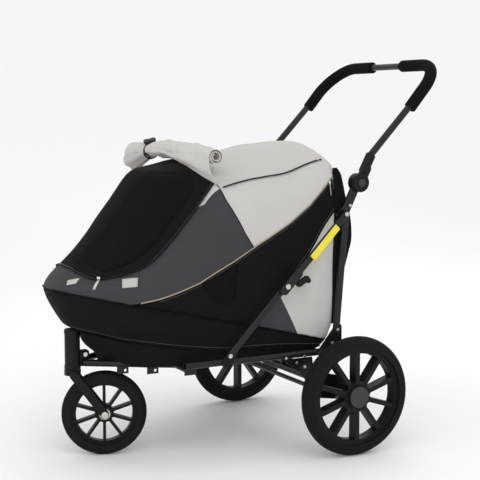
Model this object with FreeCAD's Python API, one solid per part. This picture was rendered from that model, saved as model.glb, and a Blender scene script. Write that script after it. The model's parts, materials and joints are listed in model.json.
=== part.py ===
"""Three-wheel pet stroller: folding frame, fabric cabin, adjustable handle, caster front wheel.

Chassis axes: +X to the pusher's left, -Y forward, +Z up from the ground, with the rear axle over y = 0.
Finished pieces are shifted along Y so that the origin is the middle of the stroller's footprint box.
"""
import FreeCAD, Part
import math
import os

V = FreeCAD.Vector
X_AXIS = V(1, 0, 0)
Z_AXIS = V(0, 0, 1)
SIDES = (("left", 1), ("right", -1))

# ---- driving dimensions, millimetres and degrees ----
REAR_WHEEL_RADIUS = 152.5
REAR_TYRE_SECTION = 24.0
REAR_TRACK = 646.0
FRONT_WHEEL_RADIUS = 108.0
FRONT_TYRE_SECTION = 19.6
WHEELBASE = 638.0
CASTER_TRAIL = 78.5
CASTER_REST_ANGLE = -17.7

FRAME_TUBE_RADIUS = 9.0
FRAME_GAP = 0.6
RUNNING_FIT = 0.05
PLATE = 2.5
RIVET_RADIUS = 4.0
RIVET_HEAD = 1.6

RAIL_X = 248.0
RAIL_Z = 258.0
RAIL_REAR_Y = -22.0
RAIL_FRONT_Y = -440.0
UPRIGHT_INNER_X = 246.0
UPRIGHT_THICKNESS = 11.0
UPRIGHT_WIDTH = 24.0
UPRIGHT_FOOT = (-12.0, 313.0)
LINK_TOP = (0.0, 612.0)
LINK_KNUCKLE = (-171.0, 438.0)
LINK_FOOT = (-327.0, 276.0)
LINK_THICKNESS = 8.0
LINK_WIDTH = 17.0

HUB = (48.0, 690.0)
HUB_RADIUS = 24.5
HUB_THICKNESS = 15.0
BUTTON_RADIUS = 11.0
BUTTON_TRAVEL = 3.0
SOCKET_TOP = (85.0, 761.0)
SOCKET_RADIUS = 13.0
HANDLE_HALF_WIDTH = 258.0
HANDLE_TOP = (309.0, 995.0)
HANDLE_TUBE_RADIUS = 9.0
HANDLE_WALL = 1.6
HANDLE_BEND = 95.0
GRIP_RADIUS = 16.0
GRIP_START = (203.0, 879.0)
GRIP_INNER_X = 72.0

HOUSING_RADIUS = 19.5
HOUSING_BOTTOM = 226.0
HOUSING_TOP = 326.0
STEM_RADIUS = 8.0
FORK_WIDTH = 22.0
FORK_THICKNESS = 6.0
FORK_CLEARANCE = 5.0
AXLE_RADIUS = 6.0
AXLE_BEAM = (-30.0, 174.0)
AXLE_BEAM_RADIUS = 13.0
TAB_THICKNESS = 4.0
TAB_HOLE_RADIUS = 4.0
BRAKE_ROD = (-60.0, 158.0)
BRAKE_ROD_RADIUS = 6.0
BRAKE_PIN_RADIUS = 4.0
BRAKE_PIN_TRAVEL = 8.0
BRAKE_PIN_OFFSET = 19.0
BRAKE_LEVER_TIP = (45.0, 118.0)

SPOKES = 10
BRAKE_POCKETS = 8
REAR_RIM_SEAT = 124.0
REAR_WINDOW_RADIUS = 111.0
REAR_SPOKE_WIDTH = 12.0
REAR_SPOKE_DEPTH = 30.0
REAR_HUB_RADIUS = 30.0
REAR_HUB_HALF = 21.0
HUB_CAP_RADIUS = 27.5
FRONT_RIM_SEAT = 83.0
FRONT_WINDOW_RADIUS = 72.0
FRONT_SPOKE_WIDTH = 7.0
FRONT_SPOKE_DEPTH = 20.0
FRONT_HUB_RADIUS = 20.0
FRONT_HUB_HALF = 22.0
BEARING_RADIUS = 14.0
BEARING_WIDTH = 8.0

CABIN_HALF_WIDTH = 240.0
CABIN_WALL = 3.0
CABIN_NOSE_HALF_WIDTH = 50.0
CABIN_TAPER = 250.0
SHELF_Z = 327.5
DOOR_GAP = 1.0
SEAM_X = 200.0
WINDOW_SILL_Z = 497.0
BOARD_THICKNESS = 4.0
CUSHION_THICKNESS = 36.0
CUSHION_INSET = 10.0
ROLL_RADIUS = 25.0

# height above the ground, half width, nose Y and rear Y of the cabin's plan outline
CABIN_LEVELS = (
    (252.0, 224.0, -500.0, -44.0),
    (285.0, 236.0, -585.0, -20.0),
    (SHELF_Z - 1.0, CABIN_HALF_WIDTH, -611.0, -6.0),
    (SHELF_Z + 1.0, CABIN_HALF_WIDTH, -648.0, -6.0),
    (403.0, CABIN_HALF_WIDTH, -675.0, 4.0),
    (456.0, CABIN_HALF_WIDTH, -701.0, 9.0),
    (502.0, CABIN_HALF_WIDTH, -648.0, 14.0),
    (569.0, CABIN_HALF_WIDTH, -589.0, 18.0),
    (708.0, CABIN_HALF_WIDTH, -479.0, -13.0),
    (810.0, CABIN_HALF_WIDTH, -395.0, -38.0),
)
# Y, crown height, height at the roof seam and height where the side wall starts to curve in
ROOF_STATIONS = (
    (60.0, 786.0, 752.0, 716.0),
    (-10.0, 789.0, 750.0, 712.0),
    (-130.0, 781.0, 724.0, 672.0),
    (-214.0, 769.0, 705.0, 650.0),
    (-350.0, 741.0, 684.0, 630.0),
    (-480.0, 709.0, 660.0, 615.0),
    (-760.0, 640.0, 600.0, 560.0),
)
# side view of the line where the tub meets the hood
RIM_LINE = ((80.0, 283.0), (-45.0, 289.0), (-118.0, 307.0), (-265.0, 344.0), (-482.0, 393.0), (-640.0, 424.0),
            (-760.0, 446.0))
# side view of the front door: sill, rear edge and top edge
DOOR_OUTLINE = ((-760.0, WINDOW_SILL_Z), (-497.0, WINDOW_SILL_Z), (-461.0, 552.0), (-350.0, 685.0),
                (-408.0, 760.0), (-760.0, 760.0))

# ---- values worked out from the driving dimensions ----
GUSSET_X = UPRIGHT_INNER_X + UPRIGHT_THICKNESS + 0.3
LOWER_LINK_X = GUSSET_X + PLATE + RIVET_HEAD + FRAME_GAP
UPPER_LINK_X = LOWER_LINK_X + LINK_THICKNESS + FRAME_GAP
HUB_SHELL_X = UPRIGHT_INNER_X + UPRIGHT_THICKNESS + FRAME_GAP
WHEEL_X = REAR_TRACK / 2
AXLE_Z = REAR_WHEEL_RADIUS
FRONT_AXLE_Z = FRONT_WHEEL_RADIUS
BOSS_OUTER_X = WHEEL_X - REAR_HUB_HALF - 4.0
CASTER_Y = -WHEELBASE
DOOR_HINGE = (-352.0, 744.0)
REAR_DOOR_HINGE = (-4.0, 322.0)
FORK_HALF = FRONT_TYRE_SECTION + FORK_CLEARANCE + FORK_THICKNESS


def yz(point, x=0.0):
    return V(x, point[0], point[1])


def rod(start, end, radius):
    return Part.makeCylinder(radius, (end - start).Length, start, end - start)


def cross_rod(point, x0, x1, radius):
    """Round bar along X through a point of the side view."""
    return rod(yz(point, min(x0, x1)), yz(point, max(x0, x1)), radius)


def hollow_rod(start, end, radius, wall):
    return rod(start, end, radius).cut(rod(start, end, radius - wall))


def slab(outline, x0, x1):
    """Flat plate with the given side-view outline, between two X planes."""
    low, high = min(x0, x1), max(x0, x1)
    points = [yz(point, low) for point in outline]
    face = Part.Face(Part.makePolygon(points + points[:1]))
    return face.extrude(V(high - low, 0, 0))


def softened(solid, radius):
    """Solid with every edge rounded."""
    return solid.makeFillet(radius, solid.Edges)


def bar(start, end, width, x0, x1, rounding=0.0):
    """Flat bar with round ends between two points of the side view."""
    low, high = min(x0, x1), max(x0, x1)
    along = V(0, end[0] - start[0], end[1] - start[1])
    along.normalize()
    across = along.cross(X_AXIS) * (width / 2)
    a, b = yz(start, low), yz(end, low)
    edges = [Part.LineSegment(a + across, b + across).toShape(),
             Part.Arc(b + across, b + along * (width / 2), b - across).toShape(),
             Part.LineSegment(b - across, a - across).toShape(),
             Part.Arc(a - across, a - along * (width / 2), a + across).toShape()]
    solid = Part.Face(Part.Wire(edges)).extrude(V(high - low, 0, 0))
    return softened(solid, rounding) if rounding else solid


def rivet(point, x, side, radius=RIVET_RADIUS, head=RIVET_HEAD):
    """Low round rivet head standing on a plate's outer face."""
    body = Part.makeCylinder(radius, head, yz(point, side * x), V(side, 0, 0))
    rim = [edge for edge in body.Edges if abs(edge.CenterOfMass.x - side * (x + head)) < 1e-6]
    return body.makeFillet(head * 0.6, rim)


def offset(point, direction, distance):
    """Point of the side view moved along a unit direction."""
    return (point[0] + direction[0] * distance, point[1] + direction[1] * distance)


def unit(start, end):
    length = math.hypot(end[0] - start[0], end[1] - start[1])
    return ((end[0] - start[0]) / length, (end[1] - start[1]) / length)


# ---- wheels, built about the origin with their axle along X ----
def spoke_window(window_radius, hub_radius, spoke_width, half_depth):
    """One gap between two parallel-sided spokes, round towards the hub."""
    half_pitch = math.pi / SPOKES
    sine, cosine = math.sin(half_pitch), math.cos(half_pitch)

    def side_point(reach):
        return (reach * cosine + spoke_width / 2 * sine, reach * sine - spoke_width / 2 * cosine)

    inner_reach = hub_radius + (hub_radius * sine + spoke_width) * 0.7
    inner = side_point(inner_reach)
    reach = window_radius * math.cos(math.asin(spoke_width / 2 / window_radius))
    outer = side_point(reach)
    x = -half_depth
    edges = [Part.LineSegment(V(x, *inner), V(x, *outer)).toShape(),
             Part.Arc(V(x, *outer), V(x, window_radius, 0), V(x, outer[0], -outer[1])).toShape(),
             Part.LineSegment(V(x, outer[0], -outer[1]), V(x, inner[0], -inner[1])).toShape(),
             Part.Arc(V(x, inner[0], -inner[1]), V(x, inner[0] - inner[1], 0), V(x, *inner)).toShape()]
    return Part.Face(Part.Wire(edges)).extrude(V(2 * half_depth, 0, 0))


def around(shape, count):
    """Copies of a shape evenly spaced about the X axis."""
    copies = []
    for index in range(count):
        copy = shape.copy()
        copy.rotate(V(), X_AXIS, index * 360.0 / count)
        copies.append(copy)
    return copies


def centred(radius, half_length, shift=0.0):
    return Part.makeCylinder(radius, 2 * half_length, V(shift - half_length, 0, 0), X_AXIS)


def wheel_rim(seat, window_radius, spoke_width, spoke_depth, hub_radius, hub_half, bore):
    """Moulded wheel: outer ring with raised lips, spokes and hub with two bearing seats."""
    lip = 3.0
    lip_width = 4.0
    disc = centred(window_radius + lip, spoke_depth / 2)
    ring = centred(seat, spoke_depth / 2 + 2).cut(centred(window_radius + lip, spoke_depth))
    for side in (-1, 1):
        groove = centred(seat - lip_width, 1.0, side * (spoke_depth / 2 + 2))
        ring = ring.cut(groove.cut(centred(window_radius + lip_width, 3.0, side * (spoke_depth / 2 + 2))))
    window = spoke_window(window_radius, hub_radius, spoke_width, spoke_depth)
    disc = disc.cut(around(window, SPOKES))
    solid = disc.fuse([ring, centred(hub_radius, hub_half)]).removeSplitter()
    solid = solid.cut(centred(bore + 2, hub_half + 1))
    for side in (-1, 1):
        solid = solid.cut(centred(BEARING_RADIUS, BEARING_WIDTH / 2, side * (hub_half - BEARING_WIDTH / 2)))
    return solid


def tyre(radius, section, seat):
    return Part.makeTorus(radius - section, section, V(), X_AXIS).cut(centred(seat, section + 1))


def bearings(hub_half, bore):
    """Pair of sealed ball bearings, one at each end of the hub."""
    rings = []
    for side in (-1, 1):
        middle = side * (hub_half - BEARING_WIDTH / 2)
        rings.append(centred(BEARING_RADIUS, BEARING_WIDTH / 2, middle)
                     .cut(centred(bore + RUNNING_FIT, BEARING_WIDTH, middle)))
    return Part.makeCompound(rings)


def brake_pocket():
    """Blind hole in the hub's inner face that takes the brake pin."""
    start = V(-REAR_HUB_HALF - 1, 0, BRAKE_PIN_OFFSET)
    return Part.makeCylinder(BRAKE_PIN_RADIUS + 1.0, BRAKE_PIN_TRAVEL + 3.0, start, X_AXIS)


def rear_wheels(parts):
    """Left wheel, and the same pieces mirrored for the right."""
    rim = wheel_rim(REAR_RIM_SEAT, REAR_WINDOW_RADIUS, REAR_SPOKE_WIDTH, REAR_SPOKE_DEPTH,
                    REAR_HUB_RADIUS, REAR_HUB_HALF, AXLE_RADIUS)
    rim = rim.cut(around(brake_pocket(), BRAKE_POCKETS))
    cap = Part.makeCylinder(HUB_CAP_RADIUS, 4.0, V(REAR_HUB_HALF, 0, 0), X_AXIS)
    outer = [edge for edge in cap.Edges if edge.CenterOfMass.x > REAR_HUB_HALF + 3.5]
    pieces = {"tyre_": tyre(REAR_WHEEL_RADIUS, REAR_TYRE_SECTION, REAR_RIM_SEAT), "rim_": rim,
              "hub_cap_": cap.makeFillet(2.6, outer), "bearings_": bearings(REAR_HUB_HALF, AXLE_RADIUS)}
    for prefix, shape in pieces.items():
        shape.translate(V(WHEEL_X, 0, AXLE_Z))
        parts[prefix + "left"] = shape
        parts[prefix + "right"] = mirrored(shape)


# ---- caster: built pointing straight back, then turned about its stem ----
def caster(parts):
    wheel_y = CASTER_Y + CASTER_TRAIL
    rim = wheel_rim(FRONT_RIM_SEAT, FRONT_WINDOW_RADIUS, FRONT_SPOKE_WIDTH, FRONT_SPOKE_DEPTH,
                    FRONT_HUB_RADIUS, FRONT_HUB_HALF, AXLE_RADIUS)
    wheel = {"tyre_front": tyre(FRONT_WHEEL_RADIUS, FRONT_TYRE_SECTION, FRONT_RIM_SEAT), "rim_front": rim,
             "bearings_front": bearings(FRONT_HUB_HALF, AXLE_RADIUS)}
    for shape in wheel.values():
        shape.translate(V(0, wheel_y, FRONT_AXLE_Z))
    axle_end = FORK_HALF + 4.0
    axle = cross_rod((wheel_y, FRONT_AXLE_Z), -axle_end, axle_end, AXLE_RADIUS - 0.01)
    heads = [rivet((wheel_y, FRONT_AXLE_Z), FORK_HALF, side, 9.5, 5.0) for side in (-1, 1)]
    wheel["front_axle"] = axle.fuse(heads)
    crown_z = HOUSING_BOTTOM - 3.0
    crown_depth = 14.0
    crown = Part.makeCylinder(HOUSING_RADIUS + 1.5, crown_depth, V(0, CASTER_Y, crown_z - crown_depth), Z_AXIS)
    fork = crown
    for side in (-1, 1):
        inner, outer = side * (FORK_HALF - FORK_THICKNESS), side * FORK_HALF
        elbow = (CASTER_Y + 2.0, crown_z - crown_depth / 2 - 4.0)
        leg = bar(elbow, (wheel_y, FRONT_AXLE_Z), FORK_WIDTH, inner, outer, 2.4)
        arm = Part.makeBox(FORK_HALF - 2, FORK_WIDTH - 4, crown_depth - 2,
                           V(0 if side > 0 else 2 - FORK_HALF, elbow[0] - FORK_WIDTH / 2 + 2,
                             crown_z - crown_depth))
        fork = fork.fuse([leg, arm])
    fork = fork.removeSplitter().cut(axle)
    stem_top = HOUSING_TOP - 8.0
    stem = Part.makeCylinder(STEM_RADIUS, stem_top - crown_z, V(0, CASTER_Y, crown_z), Z_AXIS)
    wheel["caster_fork"] = fork
    wheel["caster_stem"] = stem
    for name, shape in wheel.items():
        shape.rotate(V(0, CASTER_Y, 0), Z_AXIS, CASTER_REST_ANGLE)
        parts[name] = shape
    housing = Part.makeCylinder(HOUSING_RADIUS, HOUSING_TOP - HOUSING_BOTTOM, V(0, CASTER_Y, HOUSING_BOTTOM), Z_AXIS)
    lip = Part.makeCylinder(HOUSING_RADIUS + 1.2, 5.0, V(0, CASTER_Y, HOUSING_TOP - 9.0), Z_AXIS)
    collar = Part.makeCylinder(HOUSING_RADIUS + 1.2, 8.0, V(0, CASTER_Y, HOUSING_BOTTOM), Z_AXIS)
    bracket = Part.makeBox(26.0, 26.0, 40.0, V(-13.0, CASTER_Y + HOUSING_RADIUS - 4.0, HOUSING_BOTTOM + 4.0))
    bracket = bracket.makeFillet(4.0, bracket.Edges)
    bore = Part.makeCylinder(STEM_RADIUS + RUNNING_FIT, HOUSING_TOP - HOUSING_BOTTOM - 6.0,
                             V(0, CASTER_Y, HOUSING_BOTTOM), Z_AXIS)
    parts["caster_housing"] = housing.fuse([lip, collar, bracket]).removeSplitter().cut(bore)
    bolt_y = CASTER_Y + HOUSING_RADIUS + 9.0
    bolt = [Part.makeCylinder(5.5, 5.0, V(side * 13.0, bolt_y, HOUSING_BOTTOM + 35.0), V(side, 0, 0))
            for side in (-1, 1)]
    return bolt


# ---- chassis ----
def axle_bracket(side):
    """Plate that hangs from the rail and carries the axle, with a boss that stands out to the wheel."""
    inner = GUSSET_X
    boss_radius = 27.0
    outline = ((-176.0, 250.0), (-88.0, 250.0), (-84.0, 214.0), (18.0, 186.0), (26.0, 152.0), (12.0, 128.0),
               (-66.0, 140.0), (-124.0, 212.0))
    plate = slab(outline, side * inner, side * (inner + PLATE))
    boss = cross_rod((0.0, AXLE_Z), side * (inner + PLATE), side * BOSS_OUTER_X, boss_radius)
    rim = [edge for edge in boss.Edges if abs(abs(edge.CenterOfMass.x) - BOSS_OUTER_X) < 1e-6]
    boss = boss.makeFillet(4.0, rim)
    far = side * (BOSS_OUTER_X + 10)
    solid = plate.fuse(boss)
    solid = solid.cut(cross_rod((0.0, AXLE_Z), 0, far, AXLE_RADIUS))
    solid = solid.cut(cross_rod((0.0, AXLE_Z + BRAKE_PIN_OFFSET), 0, far, BRAKE_PIN_RADIUS + RUNNING_FIT))
    return solid.cut(cross_rod(BRAKE_ROD, 0, far, BRAKE_ROD_RADIUS + RUNNING_FIT))


def chassis(parts, housing_bolts):
    rivets = list(housing_bolts)
    feet = []
    for name, side in SIDES:
        rail = hollow_rod(V(side * RAIL_X, RAIL_FRONT_Y, RAIL_Z), V(side * RAIL_X, RAIL_REAR_Y, RAIL_Z),
                          FRAME_TUBE_RADIUS, 1.6)
        parts["bottom_rail_" + name] = rail
        outline = ((-19.0, 327.0), (-3.0, 327.0), (0.0, 322.0), (0.0, 262.0), (-8.0, 252.0), (-72.0, 252.0),
                   (-72.0, 262.0))
        gusset = slab(outline, side * GUSSET_X, side * (GUSSET_X + PLATE))
        parts["gusset_" + name] = gusset
        bracket = axle_bracket(side)
        parts["axle_bracket_" + name] = bracket.cut(gusset)
        foot = bar((LINK_FOOT[0] + 12, LINK_FOOT[1] + 4), (LINK_FOOT[0] - 4, RAIL_Z - 2), 26.0, side * GUSSET_X,
                   side * (GUSSET_X + PLATE))
        pin_end = LOWER_LINK_X + LINK_THICKNESS + 0.3
        pin = cross_rod(LINK_FOOT, side * (GUSSET_X + PLATE), side * pin_end, RIVET_RADIUS - RUNNING_FIT)
        feet.append(foot)
        rivets.append(pin.fuse(rivet(LINK_FOOT, pin_end, side, RIVET_RADIUS + 1.5)))
        plate_x = GUSSET_X + PLATE
        for point in (UPRIGHT_FOOT, (-28.0, 280.0), (-164.0, 256.0 - 3), (-111.0, 256.0 - 3), (-133.0, 238.0),
                      (-110.0, 226.0)):
            rivets.append(rivet(point, plate_x, side))
        pivot = cross_rod(UPRIGHT_FOOT, side * (UPRIGHT_INNER_X - 4), side * GUSSET_X, 5.0 - RUNNING_FIT)
        rivets.append(pivot)
    parts["link_feet"] = Part.makeCompound(feet)
    parts["chassis_fasteners"] = Part.makeCompound(rivets)
    cross_tubes(parts)
    beam_end = GUSSET_X
    beam = cross_rod(AXLE_BEAM, -beam_end, beam_end, AXLE_BEAM_RADIUS)
    parts["axle_beam"] = beam.cut(cross_rod(AXLE_BEAM, -beam_end, beam_end, AXLE_BEAM_RADIUS - 2.0))
    axle_end = WHEEL_X + REAR_HUB_HALF - 1.0
    parts["rear_axle"] = cross_rod((0.0, AXLE_Z), -axle_end, axle_end, AXLE_RADIUS)


def cross_tubes(parts):
    """Tubes under the floor: two across, and two that run forward to the caster housing."""
    tube_z = CABIN_LEVELS[0][0] - FRAME_TUBE_RADIUS - 1.0
    plate_inner = RAIL_X - FRAME_TUBE_RADIUS - PLATE
    across = []
    rows = (-150.0, RAIL_FRONT_Y + 20.0)
    for row in rows:
        tube = cross_rod((row, tube_z), -plate_inner, plate_inner, FRAME_TUBE_RADIUS)
        ends = [slab(((row - 16, tube_z - 10), (row + 16, tube_z - 10), (row + 16, RAIL_Z + 4),
                      (row - 16, RAIL_Z + 4)), side * plate_inner, side * (plate_inner + PLATE))
                for side in (-1, 1)]
        across.append(tube.fuse(ends))
    parts["cross_tubes"] = Part.makeCompound(across)
    spines = []
    front = CASTER_Y + HOUSING_RADIUS + 6.0
    for side in (-1, 1):
        tube = rod(V(side * 150.0, rows[1], tube_z), V(side * 17.0, front, tube_z - 2), FRAME_TUBE_RADIUS)
        spines.append(tube.cut(across).cut(parts["caster_housing"]))
    parts["spine_tubes"] = Part.makeCompound(spines)
    brackets = []
    for side in (-1, 1):
        for y in (-545.0, -478.0):
            x = side * (70.0 if y < -500 else 105.0)
            tab = Part.makeBox(TAB_THICKNESS, 30.0, 24.0, V(x - TAB_THICKNESS / 2, y, tube_z - 28.0))
            hole = Part.makeCylinder(TAB_HOLE_RADIUS, 10.0, V(x - 5.0, y + 22.0, tube_z - 20.0), X_AXIS)
            brackets.append(tab.cut(spines + [hole]))
    parts["floor_tabs"] = Part.makeCompound(brackets)


def brake(parts):
    """Foot-operated parking brake: a rod with two foot levers drives a pin into each rear hub."""
    rod_end = GUSSET_X + PLATE + 6.0
    parts["brake_rod"] = cross_rod(BRAKE_ROD, -rod_end, rod_end, BRAKE_ROD_RADIUS)
    levers = []
    for _, side in SIDES:
        inner = side * (GUSSET_X - 60.0)
        outer = side * (GUSSET_X - 12.0)
        lever = bar(BRAKE_ROD, BRAKE_LEVER_TIP, 14.0, inner, outer, 3.0)
        levers.append(lever.cut(parts["brake_rod"]))
    parts["brake_levers"] = Part.makeCompound(levers)
    for name, side in SIDES:
        tip_x = WHEEL_X - REAR_HUB_HALF - 2.0
        parts["brake_pin_" + name] = cross_rod((0.0, AXLE_Z + BRAKE_PIN_OFFSET), side * (GUSSET_X - 6), side * tip_x,
                                               BRAKE_PIN_RADIUS)


# ---- folding frame ----
def folding_frame(parts):
    outer_x = UPRIGHT_INNER_X + UPRIGHT_THICKNESS
    elbow = (LINK_TOP[0] + 14.0, LINK_TOP[1] + 10.0)
    pins = []
    along = unit(LINK_TOP, LINK_KNUCKLE)
    for name, side in SIDES:
        inner, outer = side * UPRIGHT_INNER_X, side * outer_x
        post = bar(UPRIGHT_FOOT, elbow, UPRIGHT_WIDTH - 6.0, inner, outer, 3.5)
        arm = bar(elbow, HUB, UPRIGHT_WIDTH, inner, outer, 3.5)
        disc = cross_rod(HUB, inner, outer, HUB_RADIUS)
        upright = post.fuse([arm, disc]).removeSplitter()
        spacer = cross_rod(LINK_TOP, outer - side * 4, side * (UPPER_LINK_X - FRAME_GAP / 2), 10.0)
        knuckle_boss = cross_rod(LINK_TOP, inner, outer, 14.0)
        upright = upright.fuse([knuckle_boss, spacer]).removeSplitter()
        upright = upright.cut(cross_rod(UPRIGHT_FOOT, inner - side, outer + side, 5.0))
        hub_bore = cross_rod(HUB, inner - side, outer + side, 6.0)
        parts["upright_" + name] = upright.cut(hub_bore)
        head_x = UPPER_LINK_X + LINK_THICKNESS
        pin = cross_rod(LINK_TOP, side * (UPPER_LINK_X - FRAME_GAP / 2), side * (head_x + 0.3),
                        RIVET_RADIUS - RUNNING_FIT)
        pins.append(pin.fuse(rivet(LINK_TOP, head_x + 0.3, side, RIVET_RADIUS + 1.5)))
        pins.append(rivet((24.0, 632.0), outer_x, side))
        links(name, side, along, parts)
    parts["frame_rivets"] = Part.makeCompound(pins)
    knuckles = [rivet(LINK_KNUCKLE, UPPER_LINK_X + LINK_THICKNESS + 1.0, side, 7.0, 3.0) for _, side in SIDES]
    parts["knuckle_rivets"] = Part.makeCompound(knuckles)


def links(name, side, along, parts):
    """Upper and lower halves of one diagonal, and the lock lever that keeps them straight."""
    low, high = side * LOWER_LINK_X, side * (LOWER_LINK_X + LINK_THICKNESS)
    lower = bar(LINK_FOOT, LINK_KNUCKLE, LINK_WIDTH, low, high, 2.5)
    parts["lower_link_" + name] = lower.cut(cross_rod(LINK_FOOT, low - side, high + side, RIVET_RADIUS))
    low, high = side * UPPER_LINK_X, side * (UPPER_LINK_X + LINK_THICKNESS)
    upper = bar(LINK_TOP, LINK_KNUCKLE, LINK_WIDTH, low, high, 2.5)
    cover = bar(offset(LINK_KNUCKLE, along, -44.0), offset(LINK_KNUCKLE, along, 12.0), LINK_WIDTH + 7.0, low,
                high + side * 1.0)
    parts["upper_link_" + name] = upper.fuse(cover).removeSplitter().cut(
        cross_rod(LINK_TOP, low - side, high + 2 * side, RIVET_RADIUS))
    across = (-along[1], along[0])
    pivot = offset(offset(LINK_KNUCKLE, along, -26.0), across, lever_offset())
    tip = offset(offset(LINK_KNUCKLE, along, -50.0), across, lever_offset() + 7.0)
    lever = bar(pivot, tip, 15.0, low, high + side * 4.0, 3.0)
    hook = bar(tip, offset(tip, across, 7.0), 13.0, low, high + side * 4.0, 3.0)
    parts["lock_lever_" + name] = lever.fuse(hook).removeSplitter()


def lever_offset():
    """Distance from the link's centre line to the lock lever's pivot."""
    return (LINK_WIDTH + 7.0) / 2 + 8.2


# ---- handle ----
def handle_path(start, end_x):
    """Centre line from a point on the left side tube, round the bend and along the top bar to end_x."""
    rise = V(0, HANDLE_TOP[0] - SOCKET_TOP[0], HANDLE_TOP[1] - SOCKET_TOP[1])
    rise.normalize()
    corner = yz(HANDLE_TOP, HANDLE_HALF_WIDTH)
    bend_start = corner - rise * HANDLE_BEND
    bend_end = corner - X_AXIS * HANDLE_BEND
    centre = corner - rise * HANDLE_BEND - X_AXIS * HANDLE_BEND
    middle = corner - centre
    middle.normalize()
    middle = centre + middle * HANDLE_BEND
    return [Part.LineSegment(start, bend_start).toShape(), Part.Arc(bend_start, middle, bend_end).toShape(),
            Part.LineSegment(bend_end, yz(HANDLE_TOP, end_x)).toShape()]


def mirrored(shape):
    return shape.mirror(V(), X_AXIS)


def swept(edges, radius):
    """Round bar along a tangent path."""
    wire = Part.Wire(edges)
    first = wire.Edges[0]
    start = first.valueAt(first.FirstParameter)
    direction = first.tangentAt(first.FirstParameter)
    circle = Part.Wire([Part.Circle(start, direction, radius).toShape()])
    return wire.makePipeShell([circle], True, False)


def handle(parts):
    slope = unit(HUB, SOCKET_TOP)
    edges = handle_path(yz(SOCKET_TOP, HANDLE_HALF_WIDTH), 0.0)
    half = swept(edges, HANDLE_TUBE_RADIUS).cut(swept(edges, HANDLE_TUBE_RADIUS - HANDLE_WALL))
    parts["handle_tube"] = half.fuse(mirrored(half)).removeSplitter()
    grip_edges = handle_path(yz(GRIP_START, HANDLE_HALF_WIDTH), GRIP_INNER_X)
    grip = swept(grip_edges, GRIP_RADIUS)
    ends = [edge for edge in grip.Edges if edge.Closed and edge.Length > 1.9 * math.pi * GRIP_RADIUS]
    grip = grip.makeFillet(4.0, ends).cut(swept(edges, HANDLE_TUBE_RADIUS))
    parts["grip_left"] = grip
    parts["grip_right"] = mirrored(grip)
    shell_outer = HUB_SHELL_X + HUB_THICKNESS
    for name, side in SIDES:
        shell = cross_rod(HUB, side * HUB_SHELL_X, side * shell_outer, HUB_RADIUS)
        rim = [edge for edge in shell.Edges if abs(abs(edge.CenterOfMass.x) - shell_outer) < 1e-6]
        shell = shell.makeFillet(4.0, rim)
        neck = bar(HUB, offset(HUB, slope, HUB_RADIUS + 16.0), 24.0, side * HUB_SHELL_X, side * (shell_outer - 3.0))
        top = yz(SOCKET_TOP, side * HANDLE_HALF_WIDTH)
        low = yz(offset(HUB, slope, HUB_RADIUS + 4.0), side * HANDLE_HALF_WIDTH)
        sleeve = softened(rod(low, top, SOCKET_RADIUS), 2.0)
        solid = shell.fuse([neck, sleeve]).removeSplitter()
        recess = cross_rod(HUB, side * (shell_outer - 8.0), side * (shell_outer + 1), BUTTON_RADIUS + 0.3)
        parts["handle_socket_" + name] = solid.cut([recess, inside_tube(side)])
        button_low = side * (shell_outer - 8.0 + BUTTON_TRAVEL + 0.3)
        button = cross_rod(HUB, button_low, side * (shell_outer + BUTTON_TRAVEL), BUTTON_RADIUS)
        face = [edge for edge in button.Edges
                if abs(abs(edge.CenterOfMass.x) - shell_outer - BUTTON_TRAVEL) < 1e-6]
        parts["hub_button_" + name] = button.makeFillet(1.5, face)


def inside_tube(side):
    """Room that the handle tube takes in its socket."""
    slope = unit(SOCKET_TOP, HANDLE_TOP)
    top = yz(offset(SOCKET_TOP, slope, 10.0), side * HANDLE_HALF_WIDTH)
    return rod(yz(SOCKET_TOP, side * HANDLE_HALF_WIDTH), top, HANDLE_TUBE_RADIUS)


# ---- cabin ----
def plan_outline(level, inset):
    """Boat-shaped outline at one height: straight rear and sides, tapering to a blunt nose."""
    z, half_width, nose, rear = level
    w = half_width - inset
    b = CABIN_NOSE_HALF_WIDTH - inset
    n = nose + inset
    r = rear - inset
    shoulder = nose + CABIN_TAPER

    def taper(side):
        curve = Part.BezierCurve()
        curve.setPoles([V(side * w, shoulder, z), V(side * (w - 30.0), nose + 100.0, z), V(side * b, n, z)])
        return curve.toShape()

    return Part.Wire([Part.LineSegment(V(-w, r, z), V(w, r, z)).toShape(),
                      Part.LineSegment(V(w, r, z), V(w, shoulder, z)).toShape(), taper(1),
                      Part.LineSegment(V(b, n, z), V(-b, n, z)).toShape(), taper(-1),
                      Part.LineSegment(V(-w, shoulder, z), V(-w, r, z)).toShape()])


def roof_outline(station, inset):
    """Arch across the cabin at one Y, from below the floor up one side, over and down the other."""
    y, crown, seam, wall = station
    w = CABIN_HALF_WIDTH + 1.0 - inset
    low = CABIN_LEVELS[0][0] - 10.0
    curve = Part.BSplineCurve()
    curve.interpolate([V(w, y, wall), V(SEAM_X + 14, y, seam - 12 - inset), V(SEAM_X - 30, y, seam + 13 - inset),
                       V(90, y, (crown * 3 + seam) / 4 - inset), V(0, y, crown - inset),
                       V(-90, y, (crown * 3 + seam) / 4 - inset), V(30 - SEAM_X, y, seam + 13 - inset),
                       V(-SEAM_X - 14, y, seam - 12 - inset), V(-w, y, wall)])
    return Part.Wire([curve.toShape(), Part.LineSegment(V(-w, y, wall), V(-w, y, low)).toShape(),
                      Part.LineSegment(V(-w, y, low), V(w, y, low)).toShape(),
                      Part.LineSegment(V(w, y, low), V(w, y, wall)).toShape()])


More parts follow.
